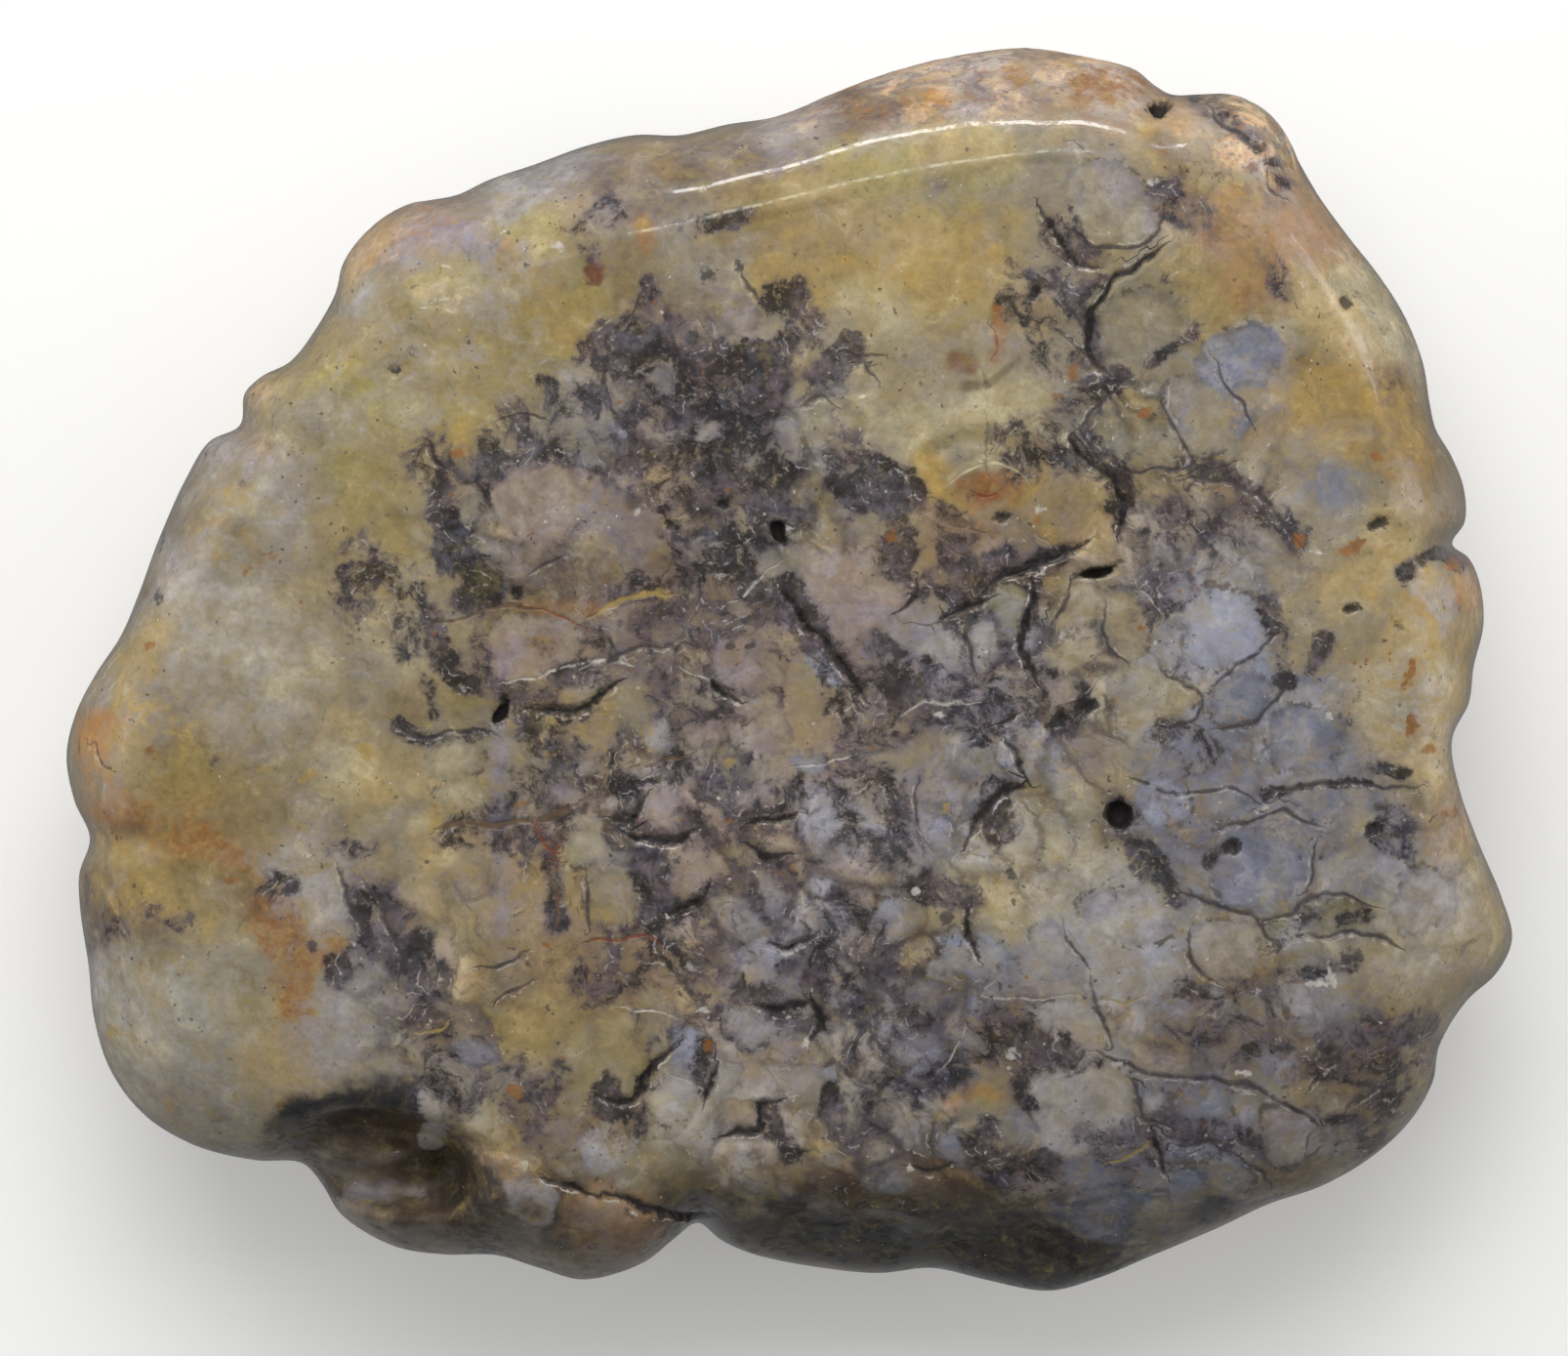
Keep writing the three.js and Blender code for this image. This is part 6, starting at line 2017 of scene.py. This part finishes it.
@dataclass
class Coprolite:
    """The whole piece: its form, the coat of markings and the finish."""

    form: Nodule = field(default_factory=Nodule)
    painter: Painter = field(default_factory=lambda: Painter(STAINS, CLASTS, SEAMS, SPOTS))
    grain: StoneGrain = field(default_factory=StoneGrain)
    finish: AgatizedStone = field(default_factory=AgatizedStone)
    # Cracks and pits are open on the face and close just below the widest line.
    open_until: float = 0.05
    under_turn: float = 147.0
    under_scale: float = 0.9
    under_blend: Point = (0.06, 0.3)
    draw_in: float = 0.38
    meander: float = 60.0
    meander_fine: float = 0.5
    meander_from: Point = (-0.35, 0.1)
    belly_rind: float = 0.45
    belly_blend: Point = (0.0, 0.3)
    rind_edge: Point = (0.6, 1.3)

    def build(self) -> bpy.types.Object:
        """Makes the piece and rides it on the frame.

        Returns:
            The finished piece.
        """
        surface = self.form.build()
        LOG.info("form: %d vertices, %d triangles", len(surface.places), len(surface.triangles))
        wobbles = self.painter.wobbles(surface.places)
        depth = self.painter.opened(surface.plan, wobbles) * (1 - fade(0.0, self.open_until, surface.below))
        mesh = bpy.data.meshes.new(PIECE)
        mesh.from_pydata(surface.places.tolist(), [], surface.triangles.tolist())
        mesh.update()
        normals = np.zeros(len(surface.places) * 3)
        mesh.vertices.foreach_get("normal", normals)
        places = surface.places - normals.reshape(-1, 3) * depth[:, None]
        mesh.vertices.foreach_set("co", places.ravel())
        self.coat(mesh, surface, wobbles, depth)
        piece = bpy.data.objects.new(PIECE, mesh)
        bpy.context.scene.collection.objects.link(piece)
        self.grain.lay(piece, self.finish.material())
        piece.data.name = PIECE
        for polygon in piece.data.polygons:
            polygon.use_smooth = True
        self.keep_in_box(piece.data)
        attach(piece, "root")
        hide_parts(NODE)
        return piece

    def coat(
        self, mesh: bpy.types.Mesh, surface: Surface, wobbles: list[np.ndarray], depth: np.ndarray
    ) -> None:
        """Stores the painter's coat on the mesh, face above and another stretch of stone below.

        Args:
            mesh: the mesh.
            surface: the stone's surface.
            wobbles: the noise of each vertex.
            depth: how deep the open cracks and pits are at each vertex.
        """
        plan = self.unfolded(surface, wobbles)
        coat = self.painter.paint(plan, wobbles)
        coat.merge(self.painter.paint(self.under_plan(plan), wobbles), fade(*self.under_blend, surface.below))
        for name, colours in coat.colours.items():
            layer = mesh.attributes.new(name, "FLOAT_COLOR", "POINT")
            values = np.column_stack([colours, np.ones(len(colours))])
            layer.data.foreach_set("color", values.astype(np.float32).ravel())
        for name, values in {**coat.values, "opened": depth, "rind": self.rind(surface)}.items():
            layer = mesh.attributes.new(name, "FLOAT", "POINT")
            layer.data.foreach_set("value", values.astype(np.float32))

    def unfolded(self, surface: Surface, wobbles: list[np.ndarray]) -> np.ndarray:
        """Where the markings of each vertex lie, drawn in down the wall so that none is stretched.

        Args:
            surface: the stone's surface.
            wobbles: the noise of each vertex.

        Returns:
            The places on the grid, which are the plan itself on the face.
        """
        away = surface.plan - GRID.centre
        drop = np.sin(np.clip(surface.below, 0.0, 1.0) * 90 * RADIANS)
        meander = fade(*self.meander_from, surface.below)[:, None] * self.meander
        drawn = away * (1 - self.draw_in * drop)[:, None]
        return GRID.centre + drawn + meander * (wobbles[0] + self.meander_fine * wobbles[1])

    def under_plan(self, plan: np.ndarray) -> np.ndarray:
        """Where the underside's stretch of markings lies on the grid: mirrored and turned.

        Args:
            plan: where each vertex lies on the grid.

        Returns:
            Where its markings are taken from.
        """
        away = plan - GRID.centre
        turn = self.under_turn * RADIANS
        mirrored = away * (-1, 1)
        spun = np.column_stack([
            mirrored[:, 0] * math.cos(turn) - mirrored[:, 1] * math.sin(turn),
            mirrored[:, 0] * math.sin(turn) + mirrored[:, 1] * math.cos(turn),
        ])
        return spun * self.under_scale + GRID.centre

    def rind(self, surface: Surface) -> np.ndarray:
        """How much of the rough rind is left.

        Args:
            surface: the stone's surface.

        Returns:
            The share of rind at each vertex.
        """
        left = self.belly_rind * fade(*self.belly_blend, surface.below)
        for at, size, turn, amount in RIND:
            away = form_distance(surface.plan, at, size, turn)
            left = np.maximum(left, amount * (1 - fade(*self.rind_edge, away)))
        return left

    def keep_in_box(self, mesh: bpy.types.Mesh) -> None:
        """Pulls stray vertices back to the CAD box.

        Args:
            mesh: the finished mesh.
        """
        places = np.zeros(len(mesh.vertices) * 3)
        mesh.vertices.foreach_get("co", places)
        low, high = (np.array(corner) for corner in CAD_BOX)
        places = np.clip(places.reshape(-1, 3), low, high)
        mesh.vertices.foreach_set("co", places.ravel())
        mesh.update()


# ---- Studio ----


AIM = Vector((0, 0, 0.01))


@dataclass(frozen=True)
class Lamp:
    """One rectangular lamp: where it hangs, how large it is and how bright."""

    name: str
    azimuth: float
    elevation: float
    distance: float
    size: Point
    power: float
    tint: Colour = (1.0, 1.0, 1.0)
    glossy: bool = True

    def hang(self) -> bpy.types.Object:
        """Hangs the lamp, turned to the stone.

        Returns:
            The lamp.
        """
        data = bpy.data.lights.new(self.name, "AREA")
        data.shape = "RECTANGLE"
        data.size, data.size_y = self.size
        data.energy = self.power
        data.color = self.tint
        lamp = bpy.data.objects.new(self.name, data)
        bpy.context.scene.collection.objects.link(lamp)
        flat = self.distance * math.cos(self.elevation * RADIANS)
        lamp.location = (
            flat * math.cos(self.azimuth * RADIANS),
            flat * math.sin(self.azimuth * RADIANS),
            self.distance * math.sin(self.elevation * RADIANS),
        )
        lamp.rotation_euler = (AIM - lamp.location).to_track_quat("-Z", "Y").to_euler()
        lamp.visible_camera = False
        lamp.visible_glossy = self.glossy
        return lamp


@dataclass(frozen=True)
class Studio:
    """A pale floor, soft lamps and a camera straight above."""

    floor_half: float = 1.2
    floor_shade: float = 0.95
    floor_glow: float = 0.12
    floor_roughness: float = 0.9
    floor_specular: float = 0.1
    world_level: float = 0.165
    camera_height: float = 0.9
    camera_film: float = 36.0
    camera_clip: Point = (0.05, 10.0)
    picture_centre: Point = (803.0, 694.5)
    lamps: tuple[Lamp, ...] = (
        Lamp("softbox", 96.0, 56.0, 0.6, (0.5, 0.4), 1.65, (1.0, 0.99, 0.97), False),
        Lamp("ceiling", 90.0, 89.0, 0.8, (0.9, 0.9), 0.55, (1.0, 1.0, 1.0), False),
        Lamp("left_card", 176.0, 10.0, 0.7, (0.9, 0.4), 4.4, (1.0, 1.0, 1.0), False),
        Lamp("right_card", 6.0, 10.0, 0.7, (0.9, 0.4), 4.4, (1.0, 1.0, 1.0), False),
        Lamp("back_card", 92.0, 10.0, 0.7, (0.9, 0.4), 3.2, (1.0, 1.0, 1.0), False),
        Lamp("tube_low", 86.0, 9.0, 0.6, (0.30, 0.05), 0.5),
        Lamp("tube_high", 94.0, 56.0, 0.6, (0.20, 0.05), 0.16, (0.95, 1.0, 0.86)),
        Lamp("rim_card", 34.0, 5.0, 0.6, (0.12, 0.14), 0.10),
    )

    def floor(self) -> bpy.types.Object:
        """Lays the floor.

        Returns:
            The floor.
        """
        half = self.floor_half
        mesh = bpy.data.meshes.new("floor")
        corners = [(-half, -half, 0), (half, -half, 0), (half, half, 0), (-half, half, 0)]
        mesh.from_pydata(corners, [], [(0, 1, 2, 3)])
        floor = bpy.data.objects.new("floor", mesh)
        bpy.context.scene.collection.objects.link(floor)
        paint = bpy.data.materials.new("pale_floor")
        paint.use_nodes = True
        shader = paint.node_tree.nodes["Principled BSDF"]
        shade = self.floor_shade
        shader.inputs["Base Color"].default_value = (shade, shade, shade * 0.99, 1)
        shader.inputs["Roughness"].default_value = self.floor_roughness
        shader.inputs["Emission Color"].default_value = (1.0, 1.0, 1.0, 1.0)
        shader.inputs["Emission Strength"].default_value = self.floor_glow
        shader.inputs["Specular IOR Level"].default_value = self.floor_specular
        mesh.materials.append(paint)
        floor.visible_diffuse = False
        floor.visible_glossy = False
        return floor

    def world(self) -> None:
        """Fills the room with dim even light."""
        world = bpy.data.worlds.new("room")
        world.use_nodes = True
        back = world.node_tree.nodes["Background"]
        back.inputs["Color"].default_value = (1.0, 1.0, 1.0, 1.0)
        back.inputs["Strength"].default_value = self.world_level
        bpy.context.scene.world = world

    def camera(self) -> bpy.types.Object:
        """Hangs the camera over the stone, framed on the drawing grid.

        Returns:
            The camera.
        """
        data = bpy.data.cameras.new("camera")
        data.sensor_width = self.camera_film
        data.lens = self.camera_film * self.camera_height / (PICTURE_WIDTH * GRID.step)
        data.clip_start, data.clip_end = self.camera_clip
        camera = bpy.data.objects.new("camera", data)
        bpy.context.scene.collection.objects.link(camera)
        x, y = GRID.to_metres(np.array([self.picture_centre]))[0]
        camera.location = (x, y, Nodule.rim_level + self.camera_height)
        bpy.context.scene.camera = camera
        return camera

    def set_up(self) -> None:
        """Puts the whole studio in the scene."""
        self.floor()
        self.world()
        self.camera()
        for lamp in self.lamps:
            lamp.hang()
        bpy.context.scene.view_settings.view_transform = "Standard"
        bpy.context.scene.view_settings.look = "None"


def main() -> None:
    """Builds the stone and the studio."""
    logging.basicConfig(level=logging.INFO, format="%(name)s: %(message)s")
    studio = Studio()
    studio.set_up()
    LOG.info("studio: floor, %d lamps and camera", len(studio.lamps))
    piece = Coprolite().build()
    LOG.info("%s: %d triangles", piece.name, len(piece.data.polygons))


if __name__ == "__main__":
    main()
